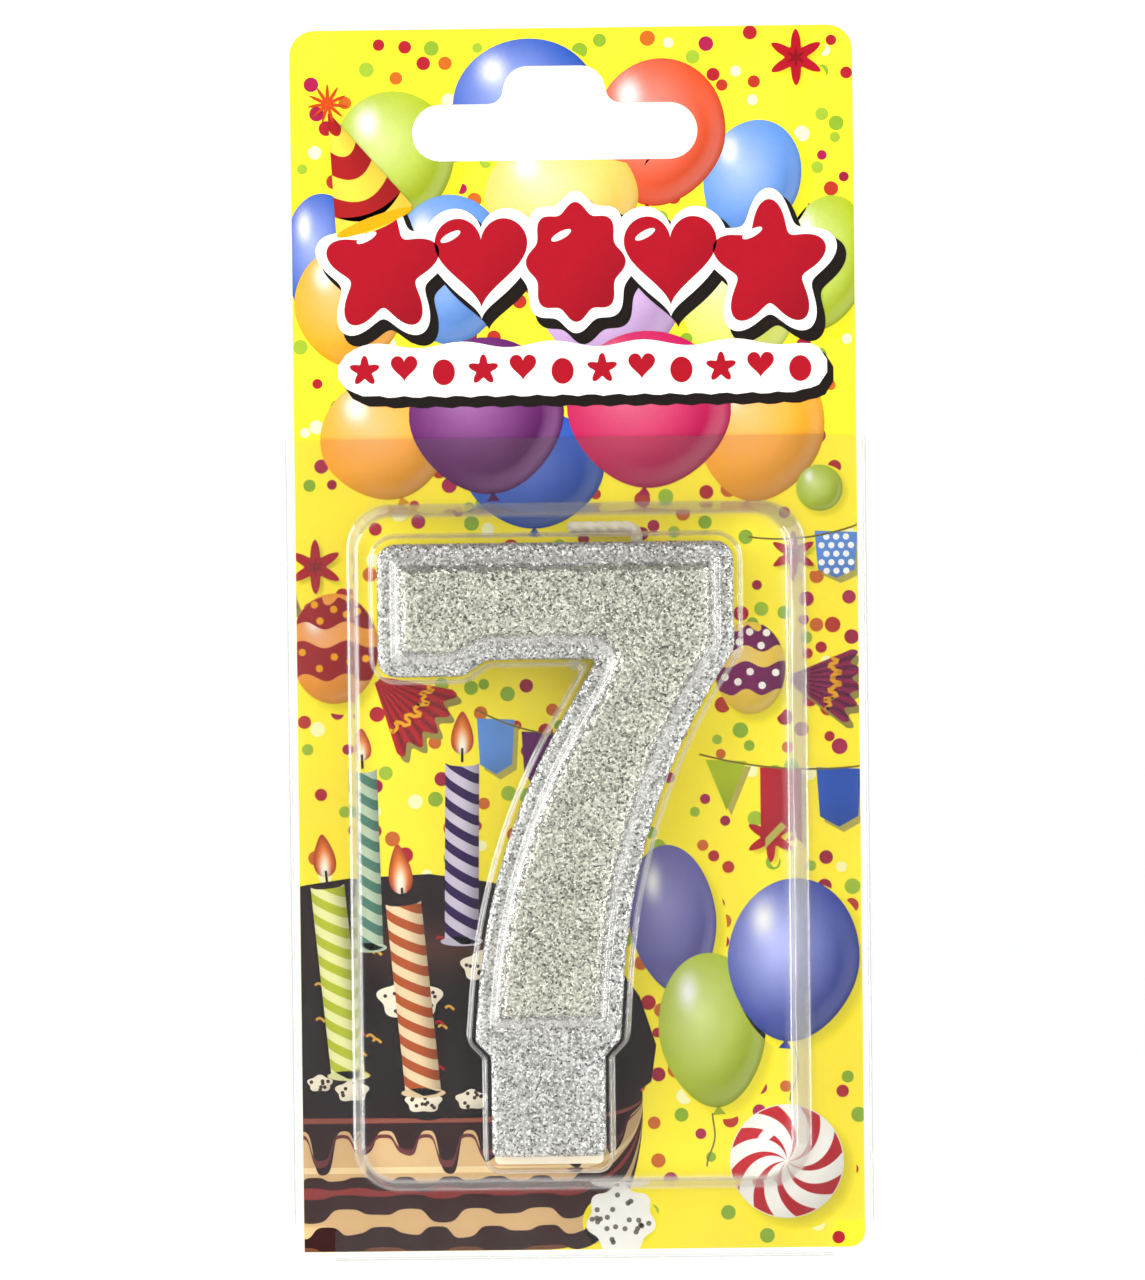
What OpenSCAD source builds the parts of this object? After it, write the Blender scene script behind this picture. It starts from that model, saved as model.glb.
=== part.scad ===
// Carded number candle: a glitter-coated numeral 7 with its wick, in a clear
// slide-on blister that is folded round the edges of a printed hang card.
// Millimetres, +Z up, front towards -Y. The origin is the centre of the
// straight part of the hang slot, on the back face of the card.

/* [Card] */
// Distance from the tray's left foot to the card's left edge
card_left = 5.8; // [5.4:0.1:12]
// Distance from the tray's right foot to the card's right edge
card_right = 5.8; // [5.4:0.1:12]
// Height of the card above the blister's flange
header_h = 45.8; // [38:0.2:60]
// Thickness of the card board
card_t = 0.45; // [0.3:0.05:0.7]
// Radius of the card's upper corners
card_top_r = 2.8; // [1:0.2:4]
// Radius of the card's lower corners
card_foot_r = 1.7; // [1:0.1:2.4]

/* [Hang slot] */
// Length of the straight part of the slot
slot_w = 32; // [27:0.5:38]
// Height of the straight part of the slot
slot_h = 6.35; // [5:0.05:7.6]
// Width of the hump above the straight part
hump_w = 10.4; // [9:0.2:12]
// Rise of the hump above the straight part
hump_rise = 4.2; // [3:0.1:5]
// Radius of the hump's shoulders
hump_r = 4; // [2:0.1:4.5]
// Radius of the flare where the hump meets the straight part
hump_flare_r = 1.6; // [0.8:0.1:2]
// Distance from the card's top edge down to the slot's centre
slot_drop = 11.6; // [10:0.1:14]
// Distance of the slot's centre to the left of the card's centre
slot_shift = 1.9; // [0:0.1:3]

/* [Numeral] */
// Overall width of the numeral
num_w = 39.5; // [38:0.1:48]
// Overall height of the numeral with its foot
num_h = 69.2; // [62:0.1:84]
// Thickness of the numeral from its back to the rim
num_t = 8; // [6.5:0.1:10]
// Height of the numeral's foot above the card's bottom edge
num_up = 10.2; // [9:0.1:14]
// Height of the top bar
bar_h = 12.9; // [11:0.1:15.5]
// How far the arm's end hangs below the bar
arm_drop = 1.8; // [1.4:0.1:2.6]
// Width of the arm's hanging end
arm_w = 9.4; // [8:0.1:11]
// Run of the slope between the arm's end and the bar
arm_run = 2.6; // [2:0.1:4]
// Distance from the left edge to the inner corner under the bar
crotch_x = 24.4; // [22:0.1:26]
// Distance from the left edge to the leg's lower end
leg_x = 10.3; // [8:0.1:12]
// Width of the leg at its lower end
leg_w = 16.1; // [13.5:0.1:19]
// Height above the leg's lower end at which its edges bend
leg_bend_h = 23.5; // [20:0.1:28]
// Radius of the leg's curved edges
leg_r = 72; // [60:1:90]
// Width of the foot that goes into the cake
foot_w = 12.6; // [10.5:0.1:13.5]
// Height of the foot
foot_h = 12.2; // [10:0.1:14.6]
// Height of the slope between foot and leg
neck_h = 1.8; // [1:0.1:3]
// Radius of the numeral's outer corners
corner_r = 2; // [1:0.1:2.6]
// Width of the rim round the raised panel
rim_w = 2.7; // [2.2:0.1:3.3]
// Height of the raised panel above the rim
panel_rise = 1; // [0.4:0.1:1.4]
// Thickness of the glitter coat
coat_t = 0.3; // [0.2:0.05:0.5]

/* [Wick] */
// Diameter of the waxed wick
wick_d = 1.4; // [1:0.1:1.7]
// Length of wick held in the wax
wick_in = 24; // [15:1:30]
// Depth of wax between the wick and the numeral's back
wick_cover = 0.9; // [0.5:0.1:1]
// Distance of the wick from the numeral's left edge
wick_x = 28.9; // [27:0.1:31]
// Height of the wick's first bend above the numeral
wick_rise = 0.5; // [0.4:0.1:0.8]
// Bend radius of the wick on its centre line
wick_bend_r = 1.2; // [1:0.1:1.4]
// Length of the wick's level stretch above the numeral
wick_run = 6; // [3:0.5:7]
// Turn of the wick's tip towards the numeral, in degrees
tip_turn = 30; // [10:1:32]

/* [Blister] */
// Thickness of the clear sheet
sheet_t = 0.3; // [0.25:0.05:0.4]
// Distance from the tray's foot to the flange's top edge
flange_over = 7.3; // [4:0.1:12]
// Width of the lips folded behind the card
lip_w = 4.5; // [3:0.5:8]
// Distance from the card's edge to the centre of the fold
fold_out = 0.4; // [0.2:0.05:0.6]
// Width of the corner notches
notch_w = 3.5; // [3:0.1:5]
// Height of the corner notches
notch_h = 3; // [2.4:0.1:4]
// Depth of the raised tray
tray_d = 3.5; // [2.9:0.1:4.5]
// Distance from the numeral's left edge to the tray's foot
tray_left = 3.6; // [3:0.1:6]
// Distance from the numeral's right edge to the tray's foot
tray_right = 8.3; // [5:0.1:9]
// Distance from the numeral's top to the tray's foot
tray_over = 4.5; // [4.3:0.1:8]
// Distance from the numeral's foot to the tray's foot
tray_under = 3.3; // [3:0.1:5]
// Radius of the tray's corners at its foot
tray_r = 5; // [4:0.1:7]
// Draft of the tray's left wall
draft_left = 1; // [0.6:0.1:1.4]
// Draft of the tray's right wall
draft_right = 2.6; // [1:0.1:2.8]
// Draft of the tray's upper and lower walls
draft_ends = 1.4; // [0.8:0.1:1.5]
// Rounding of the tray's front edge
tray_edge_r = 0.6; // [0.3:0.1:0.8]

/* [Fits] */
// Clearance of the sliding fit between blister and card
slide_gap = 0.12; // [0.08:0.01:0.2]
// Gap between the candle and the bubble all round
bubble_gap = 0.4; // [0.35:0.05:0.5]
// Further room above the candle, which is its play in the bubble
play = 0.3; // [0.2:0.05:0.4]
// Gap between the candle's back and the card
back_gap = 0.5; // [0.4:0.1:0.8]

/* [Hidden] */

round_fn = 48;     // facets of the round parts
arc_step = 15;     // turn of each step along an outline's corners
long_step = 2.5;   // turn of each step along the leg's long arcs
long_r = 20;       // radius from which an arc counts as long
long_share = 0.86; // share of its shorter edge that a long arc may take
least_r = 0.5;     // radius that an offset corner keeps
past = 0.2;        // how far a cut runs past what it cuts
thin = 0.01;       // thickness of a hull's first slab
lap = 0.05;        // how far the sheet's flats run into its folds
lean = 1.8;        // how far each edge of the leg moves over below its bend
blend_r = 2.2;     // radius of the bends at the arm's end
small_r = 0.9;     // radius of the small corners of leg and foot
hump_flare = 0.9;  // how much wider the hump is at its foot, on each side

card_w = card_left + tray_left + num_w + tray_right + card_right;
card_h = num_up + num_h + tray_over + flange_over + header_h;
card_x = slot_shift;
card_foot_z = slot_drop - card_h;
card_front = -card_t;

num_x = card_x - card_w / 2 + card_left + tray_left;
num_z = card_foot_z + num_up;
num_back = card_front - back_gap;
num_rim = num_back - num_t;
num_front = num_rim - panel_rise;
leg_z = num_z + foot_h + neck_h;

flange_in = card_front - slide_gap;
flange_out = flange_in - sheet_t;
tray_out = flange_out - tray_d;
tray_in = tray_out + sheet_t;
tray_top = num_z + num_h + tray_over;
fold_r = card_t / 2 + slide_gap + sheet_t;
fold_y = -card_t / 2;

wick_root = [num_x + wick_x, num_back - wick_cover - wick_d / 2, num_z + num_h];

function unit(v) = v / norm(v);
function turned(v, a) = [v.x * cos(a) - v.y * sin(a), v.x * sin(a) + v.y * cos(a)];
function right_of(v) = [v.y, -v.x];

// Arc at corner q of an outline that runs p, q, s counterclockwise, each
// given as [x, z, radius], with the whole outline moved outwards by d. The
// radius is limited by the shorter of the two edges.
function corner(p, q, s, d) =
    let (edge_a = [q.x - p.x, q.y - p.y], edge_b = [s.x - q.x, s.y - q.y],
         a = unit(edge_a), b = unit(edge_b),
         turn = atan2(a.x * b.y - a.y * b.x, a * b), side = turn > 0 ? 1 : -1,
         long = q.z > long_r, share = long ? long_share : 0.5,
         room = share * min(norm(edge_a), norm(edge_b)),
         r = max(min(q.z, room / tan(abs(turn) / 2)) + side * d, least_r),
         out_a = right_of(a), out_b = right_of(b),
         tip = [q.x, q.y] + d * (out_a + out_b) / (1 + out_a * out_b),
         spoke = side * r * out_a, centre = tip - a * r * tan(abs(turn) / 2) - spoke,
         n = max(2, ceil(abs(turn) / (long ? long_step : arc_step) - 0.01)))
    [for (i = [0 : n]) centre + turned(spoke, turn * i / n)];

// Points of a rounded outline moved outwards by d.
function rounded(path, d = 0) =
    let (n = len(path))
    [for (i = [0 : n - 1]) each corner(path[(i + n - 1) % n], path[i], path[(i + 1) % n], d)];

function box_path(left, foot, right, top, foot_r, top_r) =
    [[right, foot, foot_r], [right, top, top_r], [left, top, top_r], [left, foot, foot_r]];

function mirrored(path) = [for (i = [len(path) - 1 : -1 : 0]) [-path[i].x, path[i].y, path[i].z]];

// The leg, bar and hanging arm, from the leg's lower right corner.
head_path =
    let (left = num_x, right = num_x + num_w, top = num_z + num_h, under = top - bar_h,
         leg_left = left + leg_x, leg_right = leg_left + leg_w)
    [
        [leg_right, leg_z, small_r],
        [leg_right + lean, leg_z + leg_bend_h + lean, leg_r],
        [right, under + lean / 2, corner_r],
        [right, top, corner_r],
        [left, top, corner_r],
        [left, under - arm_drop, corner_r],
        [left + arm_w, under - arm_drop, blend_r],
        [left + arm_w + arm_run, under, blend_r],
        [left + crotch_x, under, least_r],
        [leg_left + lean, leg_z + leg_bend_h - lean, leg_r],
        [leg_left, leg_z, small_r]
    ];

// The foot below the leg, from its upper left corner.
foot_path =
    let (left = num_x + leg_x + (leg_w - foot_w) / 2, top = leg_z - neck_h)
    [
        [left, top, least_r],
        [left, num_z, small_r],
        [left + foot_w, num_z, small_r],
        [left + foot_w, top, least_r]
    ];

numeral_path = concat(head_path, foot_path);

card_path = box_path(card_x - card_w / 2, card_foot_z, card_x + card_w / 2,
                     card_foot_z + card_h, card_foot_r, card_top_r);

// Right half of the hang slot, from below.
half_slot = [
    [slot_w / 2, -slot_h / 2, slot_h / 2],
    [slot_w / 2, slot_h / 2, slot_h / 2],
    [hump_w / 2 + hump_flare, slot_h / 2, hump_flare_r],
    [hump_w / 2, slot_h / 2 + hump_rise, hump_r]
];

// The tray's outline with its walls drawn in by a share of their draft.
function tray_path(share) =
    box_path(num_x - tray_left + draft_left * share,
             num_z - tray_under + draft_ends * share,
             num_x + num_w + tray_right - draft_right * share,
             tray_top - draft_ends * share,
             tray_r - share, tray_r - share);

// Flat piece between two depths with an outline in the XZ plane.
module slab(points, back, front) {
    translate([0, back, 0]) rotate([90, 0, 0])
        linear_extrude(back - front) polygon(points);
}

module backing_card() {
    color([0.97, 0.93, 0.25]) difference() {
        slab(rounded(card_path), 0, card_front);
        slab(rounded(concat(half_slot, mirrored(half_slot))), past, card_front - past);
    }
}

// Numeral with its raised panel, less a skin of the given thickness, from
// depth back to the front.
module numeral(skin, back) {
    slab(rounded(numeral_path, -skin), back, num_rim + skin);
    slab(rounded(head_path, -rim_w - skin), back, num_front + skin);
}

module candle_body() {
    color([0.93, 0.89, 0.78]) difference() {
        numeral(coat_t, num_back);
        wick_core();
    }
}

// The coat leaves the back and the foot's end bare.
module glitter_coat() {
    color([0.78, 0.78, 0.76]) difference() {
        numeral(0, num_back);
        numeral(coat_t, num_back + past);
        translate([num_x, num_front - past, num_z - past])
            cube([num_w, num_back - num_front + 2 * past, coat_t + past]);
        wick_core();
    }
}

// Straight stretch of the wick, from inside the wax to just above it.
module wick_core() {
    translate([wick_root.x, wick_root.y, wick_root.z - wick_in])
        cylinder(h = wick_in + wick_rise, d = wick_d, $fn = round_fn);
}

// Bend of the wick about the Y axis, from +X towards +Z.
module wick_bend(turn) {
    rotate([90, 0, 0]) rotate_extrude(angle = turn, $fn = round_fn)
        translate([wick_bend_r, 0]) circle(d = wick_d, $fn = round_fn);
}

// The wick leaves the numeral's top and lies along it, tip to the left.
module wick() {
    color([0.95, 0.93, 0.84]) {
        wick_core();
        translate([wick_root.x - wick_bend_r, wick_root.y, wick_root.z + wick_rise]) {
            wick_bend(90);
            translate([0, 0, wick_bend_r]) rotate([0, -90, 0])
                cylinder(h = wick_run, d = wick_d, $fn = round_fn);
            translate([-wick_run, 0, 0]) rotate([0, -90, 0]) wick_bend(tip_turn);
        }
    }
}

// Outer form of the blister's tray or, less the sheet, its inner form.
module tray_form(less, back) {
    front = tray_out + less;
    hull() {
        slab(rounded(tray_path(0), -less), back, flange_out + less - thin);
        slab(rounded(tray_path(0.8), -less), back, front + tray_edge_r);
        slab(rounded(tray_path(1), -less - tray_edge_r), back, front);
    }
}

// Form of the bubble that follows the numeral at the given distance, with
// the candle's play above it.
module bubble_form(gap, back) {
    lift = play / 2;
    translate([0, 0, lift]) {
        slab(rounded(numeral_path, gap + lift), back, num_rim - gap);
        slab(rounded(head_path, gap + lift - rim_w), back, num_front - gap);
    }
}

// Flat of the sheet in front of the card, notched at its lower corners.
module flange() {
    left = card_x - card_w / 2;
    right = card_x + card_w / 2;
    top = tray_top + flange_over;
    notch_top = card_foot_z + notch_h;
    out = fold_out + lap;
    path = [
        [right - notch_w, card_foot_z - out],
        [right - notch_w, notch_top],
        [right + out, notch_top],
        [right + out, top],
        [left - out, top],
        [left - out, notch_top],
        [left + notch_w, notch_top],
        [left + notch_w, card_foot_z - out]
    ];
    slab(path, flange_in, flange_out);
}

// Folded edge of the sheet along +Z: a half ring and the lip behind the card.
module fold(length) {
    inner_r = fold_r - sheet_t;
    linear_extrude(length) {
        difference() {
            circle(r = fold_r, $fn = round_fn);
            circle(r = inner_r, $fn = round_fn);
            translate([-2 * fold_r, -fold_r - past]) square([2 * fold_r, 2 * (fold_r + past)]);
        }
        translate([-lip_w - fold_out, inner_r]) square([lip_w + fold_out + lap, sheet_t]);
    }
}

module folds() {
    side_z = card_foot_z + notch_h;
    for (side = [-1, 1])
        translate([card_x + side * (card_w / 2 + fold_out), fold_y, side_z])
            mirror([side < 0 ? 1 : 0, 0, 0]) fold(tray_top + flange_over - side_z);
    translate([card_x - card_w / 2 + notch_w, fold_y, card_foot_z - fold_out])
        rotate([0, 90, 0]) fold(card_w - 2 * notch_w);
}

module blister() {
    color([0.85, 0.93, 0.98, 0.35]) {
        difference() {
            union() {
                flange();
                tray_form(0, flange_in);
                bubble_form(bubble_gap + sheet_t, tray_in);
            }
            tray_form(sheet_t, flange_in + past);
            bubble_form(bubble_gap, tray_in + past);
        }
        folds();
    }
}

backing_card();
blister();
candle_body();
glitter_coat();
wick();
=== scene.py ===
"""A carded number candle: a glitter-coated numeral 7 with its wick, in a clear
slide-on blister that is folded round the edges of a printed hang card.
Metres, +Z up, front towards -Y, as in the CAD frame."""

import math

import bmesh
import bpy
import numpy as np
from bpy.props import FloatProperty, FloatVectorProperty, IntProperty, PointerProperty
from bpy.types import Operator, Panel, PropertyGroup
from mathutils import Matrix, Vector
from mathutils.geometry import delaunay_2d_cdt


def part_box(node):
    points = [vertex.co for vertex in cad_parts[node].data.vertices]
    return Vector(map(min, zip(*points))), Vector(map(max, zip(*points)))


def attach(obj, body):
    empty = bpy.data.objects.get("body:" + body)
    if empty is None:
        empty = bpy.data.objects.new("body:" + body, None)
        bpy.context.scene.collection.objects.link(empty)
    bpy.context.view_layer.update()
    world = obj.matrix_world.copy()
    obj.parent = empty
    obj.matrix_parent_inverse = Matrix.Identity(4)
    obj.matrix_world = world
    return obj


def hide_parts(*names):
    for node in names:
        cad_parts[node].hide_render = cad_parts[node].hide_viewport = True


bl_info = {
    "name": "Carded number candle",
    "version": (1, 0, 0),
    "blender": (4, 5, 0),
    "location": "View3D > Sidebar > Candle",
    "description": "Glitter numeral candle in a slide-on blister on a hang card",
    "category": "Object",
}

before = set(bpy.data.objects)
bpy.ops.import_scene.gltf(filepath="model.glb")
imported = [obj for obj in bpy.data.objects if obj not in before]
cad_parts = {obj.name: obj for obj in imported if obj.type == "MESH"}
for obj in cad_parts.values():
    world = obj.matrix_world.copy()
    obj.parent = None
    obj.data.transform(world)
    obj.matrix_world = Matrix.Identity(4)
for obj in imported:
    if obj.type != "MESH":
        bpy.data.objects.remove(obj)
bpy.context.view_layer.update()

MM = 0.001


def node_box(node):
    """Lowest and highest corner of a CAD node, in millimetres."""
    return [np.array(c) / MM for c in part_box(node)]


card_low, card_high = node_box("backing_card")
sheet_low = node_box("blister")[0]
coat_low, coat_high = node_box("glitter_coat")

CARD_LEFT, CARD_RIGHT = card_low[0], card_high[0]
CARD_FOOT, CARD_TOP = card_low[2], card_high[2]
CARD_FRONT = card_low[1]

# Sizes that repeat the CAD source, in millimetres
COAT_T, NUM_W, NUM_H, NUM_T, PANEL_RISE = 0.3, 39.5, 69.2, 8, 1
BAR_H, ARM_W, ARM_RUN, ARM_DROP, CROTCH_X = 12.9, 9.4, 2.6, 1.8, 24.4
LEG_X, LEG_W, LEG_R, LEG_LEAN, FOOT_W, NECK_H = 10.3, 16.1, 72, 1.8, 12.6, 1.8
TRAY_DEPTH, BUBBLE_GAP = 3.5, 0.7
NUM_X, NUM_Z = coat_low[0], coat_low[2] - COAT_T
NUM_TOP = NUM_Z + NUM_H
NUM_BACK = coat_high[1]
NUM_RIM = NUM_BACK - NUM_T
NUM_FRONT = NUM_RIM - PANEL_RISE
LEG_Z = NUM_Z + 14
FLANGE_OUT = CARD_FRONT - 0.42
TRAY_OUT = FLANGE_OUT - TRAY_DEPTH
BUBBLE_OUT = NUM_RIM - BUBBLE_GAP
TRAY_TOP = NUM_TOP + 4.5
FLANGE_TOP = TRAY_TOP + 7.3
FOLD_R, FOLD_Y, FOLD_OUT = 0.645, CARD_FRONT / 2, 0.4
LIP_W, NOTCH_W, NOTCH_H = 4.5, 3.5, 3
SLOT_W, SLOT_H, HUMP_W, HUMP_RISE = 32, 6.35, 10.4, 4.2


# ---------------------------------------------------------------- outlines


def right_of(v):
    """The vector a quarter turn clockwise from v."""
    return np.array([v[1], -v[0]])


def corner(p, q, s, grow):
    """Arc at corner q of a counterclockwise outline p, q, s of [x, z, radius],
    moved outwards by grow: its centre lies inwards of both edges by the radius,
    and its points turn about that centre in equal steps."""
    edge_a, edge_b = q[:2] - p[:2], s[:2] - q[:2]
    len_a, len_b = np.hypot(*edge_a), np.hypot(*edge_b)
    a, b = edge_a / len_a, edge_b / len_b
    turn = math.atan2(a[0] * b[1] - a[1] * b[0], a @ b)
    side = 1 if turn > 0 else -1
    long = q[2] > 20
    half = math.tan(abs(turn) / 2)
    room = (0.86 if long else 0.5) * min(len_a, len_b)
    r = max(min(q[2], room / half) + side * grow, 0.5)
    out_a, out_b = right_of(a), right_of(b)
    tip = q[:2] + grow * (out_a + out_b) / (1 + out_a @ out_b)
    spoke = side * r * out_a
    centre = tip - a * r * half - spoke
    n = max(3, math.ceil(abs(turn) / math.radians(1.25 if long else 7.5) - 0.01))
    t = turn * np.arange(n + 1) / n
    return centre + np.stack(
        [spoke[0] * np.cos(t) - spoke[1] * np.sin(t), spoke[0] * np.sin(t) + spoke[1] * np.cos(t)], 1
    )


def rounded(path, grow=0.0):
    """Points of a rounded outline moved outwards by grow: its corner arcs, one after another."""
    path = np.array(path, float)
    n = len(path)
    return np.concatenate([corner(path[i - 1], path[i], path[(i + 1) % n], grow) for i in range(n)])


def box_path(left, foot, right, top, r):
    """A counterclockwise box whose four corners share one radius."""
    return [[right, foot, r], [right, top, r], [left, top, r], [left, foot, r]]


def head_path():
    """Leg, bar and hanging arm of the numeral, from the leg's lower right corner."""
    left, right, top, under = NUM_X, NUM_X + NUM_W, NUM_TOP, NUM_TOP - BAR_H
    leg_left = left + LEG_X
    leg_right = leg_left + LEG_W
    return [
        [leg_right, LEG_Z, 0.9],
        [leg_right + LEG_LEAN, LEG_Z + 25.3, LEG_R],
        [right, under + 0.9, 2],
        [right, top, 2],
        [left, top, 2],
        [left, under - ARM_DROP, 2],
        [left + ARM_W, under - ARM_DROP, 2.2],
        [left + ARM_W + ARM_RUN, under, 2.2],
        [left + CROTCH_X, under, 0.5],
        [leg_left + LEG_LEAN, LEG_Z + 21.7, LEG_R],
        [leg_left, LEG_Z, 0.9],
    ]


def foot_path(foot_z):
    """The foot below the leg, from its upper left corner down to foot_z and up again."""
    left = NUM_X + LEG_X + (LEG_W - FOOT_W) / 2
    right, top = left + FOOT_W, LEG_Z - NECK_H
    return [[left, top, 0.5], [left, foot_z, 0.9], [right, foot_z, 0.9], [right, top, 0.5]]


def numeral_path(foot_z=NUM_Z):
    """The whole numeral with its foot."""
    return head_path() + foot_path(foot_z)


def tray_path(share):
    """Tray outline with each wall drawn in by a share of its draft."""
    return box_path(
        NUM_X - 3.6 + share,
        NUM_Z - 3.3 + 1.4 * share,
        NUM_X + NUM_W + 8.3 - 2.6 * share,
        TRAY_TOP - 1.4 * share,
        5 - share,
    )


def slot_outline():
    """The hang slot's outline: a straight slot with a rounded hump above it."""
    half = [
        [SLOT_W / 2, -SLOT_H / 2, SLOT_H / 2],
        [SLOT_W / 2, SLOT_H / 2, SLOT_H / 2],
        [HUMP_W / 2 + 0.9, SLOT_H / 2, 1.6],
        [HUMP_W / 2, SLOT_H / 2 + HUMP_RISE, 4],
    ]
    return rounded(half + [[-x, z, r] for x, z, r in half[::-1]])


def inside(points, outline):
    """True for each point that lies inside a closed outline, by counting the
    edges that a ray towards +X from it crosses."""
    x, z = points[:, :1], points[:, 1:]
    a, b = outline, np.roll(outline, -1, 0)
    spans = (a[None, :, 1] > z) != (b[None, :, 1] > z)
    rise = np.where(b[:, 1] == a[:, 1], 1e-12, b[:, 1] - a[:, 1])
    at = a[:, 0] + (z - a[:, 1]) * (b[:, 0] - a[:, 0]) / rise
    return (np.sum(spans & (x < at), 1) % 2).astype(bool)


# ------------------------------------------------------------------ meshes


class Form:
    """A mesh being gathered from grids and flats, in millimetres."""

    def __init__(self):
        self.points, self.faces, self.count = [], [], 0

    def add(self, points, *faces):
        """Points, with blocks of faces counted from the first of them. The faces of
        one block have equal numbers of corners."""
        self.points.append(np.asarray(points, float).reshape(-1, 3))
        self.faces += [np.asarray(block) + self.count for block in faces if len(block)]
        self.count += len(self.points[-1])

    def grid(self, points, wrap=True):
        """Quads over a grid of shape rows, columns, 3. Its columns join up in a ring when
        wrap is set."""
        rows, cols = points.shape[:2]
        i, j = np.meshgrid(np.arange(rows - 1), np.arange(cols if wrap else cols - 1), indexing="ij")
        k = (j + 1) % cols
        quads = np.stack([i * cols + j, i * cols + k, (i + 1) * cols + k, (i + 1) * cols + j], -1)
        self.add(points, quads.reshape(-1, 4))
        return self.faces[-1]

    def flat(self, outline, y, holes=(), front=True):
        """Flat region between an outline and its holes at depth y, as triangles whose
        corners are the outlines' own points."""
        loops = [outline, *holes]
        starts = np.cumsum([0] + [len(l) for l in loops])
        rounds = [list(range(s, s + len(l))) for s, l in zip(starts.tolist(), loops)]
        flat_points = [Vector(p) for p in np.concatenate(loops).tolist()]
        made, _, faces, *_ = delaunay_2d_cdt(flat_points, [], rounds, 2, 1e-7)
        made = np.array([list(v) for v in made])
        tri = np.array(faces)
        a, b, c = made[tri[:, 0]], made[tri[:, 1]], made[tri[:, 2]]
        area = (b[:, 0] - a[:, 0]) * (c[:, 1] - a[:, 1]) - (b[:, 1] - a[:, 1]) * (c[:, 0] - a[:, 0])
        turn = (area < 0) == front
        tri[turn] = tri[turn][:, ::-1]
        self.add(np.stack([made[:, 0], np.full(len(made), y), made[:, 1]], 1), tri[np.abs(area) > 1e-9])

    def build(self, name, body, merge=1e-7, sharp=32, recalc=False, colours=None):
        """The finished object at the origin, its equal points merged, riding on a CAD body."""
        mesh = bpy.data.meshes.new(name)
        points = np.concatenate(self.points) * MM
        mesh.from_pydata(points.tolist(), [], [face for block in self.faces for face in block.tolist()])
        if colours is not None:
            ink = mesh.attributes.new("ink", "FLOAT_COLOR", "POINT")
            rgba = np.ones((len(points), 4), np.float32)
            rgba[:, :3] = colours
            ink.data.foreach_set("color", rgba.ravel())
        bm = bmesh.new()
        bm.from_mesh(mesh)
        if merge:
            bmesh.ops.remove_doubles(bm, verts=bm.verts, dist=merge)
            bmesh.ops.dissolve_degenerate(bm, dist=merge, edges=bm.edges)
        bmesh.ops.delete(bm, geom=[v for v in bm.verts if not v.link_faces], context="VERTS")
        if recalc:
            bmesh.ops.recalc_face_normals(bm, faces=bm.faces)
        bm.to_mesh(mesh)
        bm.free()
        mesh.shade_smooth()
        mesh.set_sharp_from_angle(angle=math.radians(sharp))
        piece = bpy.data.objects.new(name, mesh)
        bpy.context.scene.collection.objects.link(piece)
        if body:
            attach(piece, body)
        return piece


def at_depth(outline, y, lift=0.0):
    """Outline points as a ring at depth y, lifted along Z."""
    return np.stack([outline[:, 0], np.full(len(outline), y), outline[:, 1] + lift], 1)


def ring(path, grow, y, lift=0.0):
    """The rounded outline, moved outwards by grow, as points at depth y."""
    return at_depth(rounded(path, grow), y, lift)


def in_plan(points):
    """The X and Z of points."""
    return points[:, [0, 2]]


def soft_step(n=9):
    """Pairs of share and rise for a slope that starts and ends level."""
    s = np.linspace(0, 1, n)
    return zip(s, s * s * (3 - 2 * s))


def quarter(steps=6):
    return np.linspace(0, math.pi / 2, steps + 1)


# --------------------------------------------------------------- materials


def linear(rgb):
    """Linear light of a screen colour given as three numbers from 0 to 255."""
    c = np.asarray(rgb, float) / 255
    return np.where(c <= 0.04045, c / 12.92, ((c + 0.055) / 1.055) ** 2.4)


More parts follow.
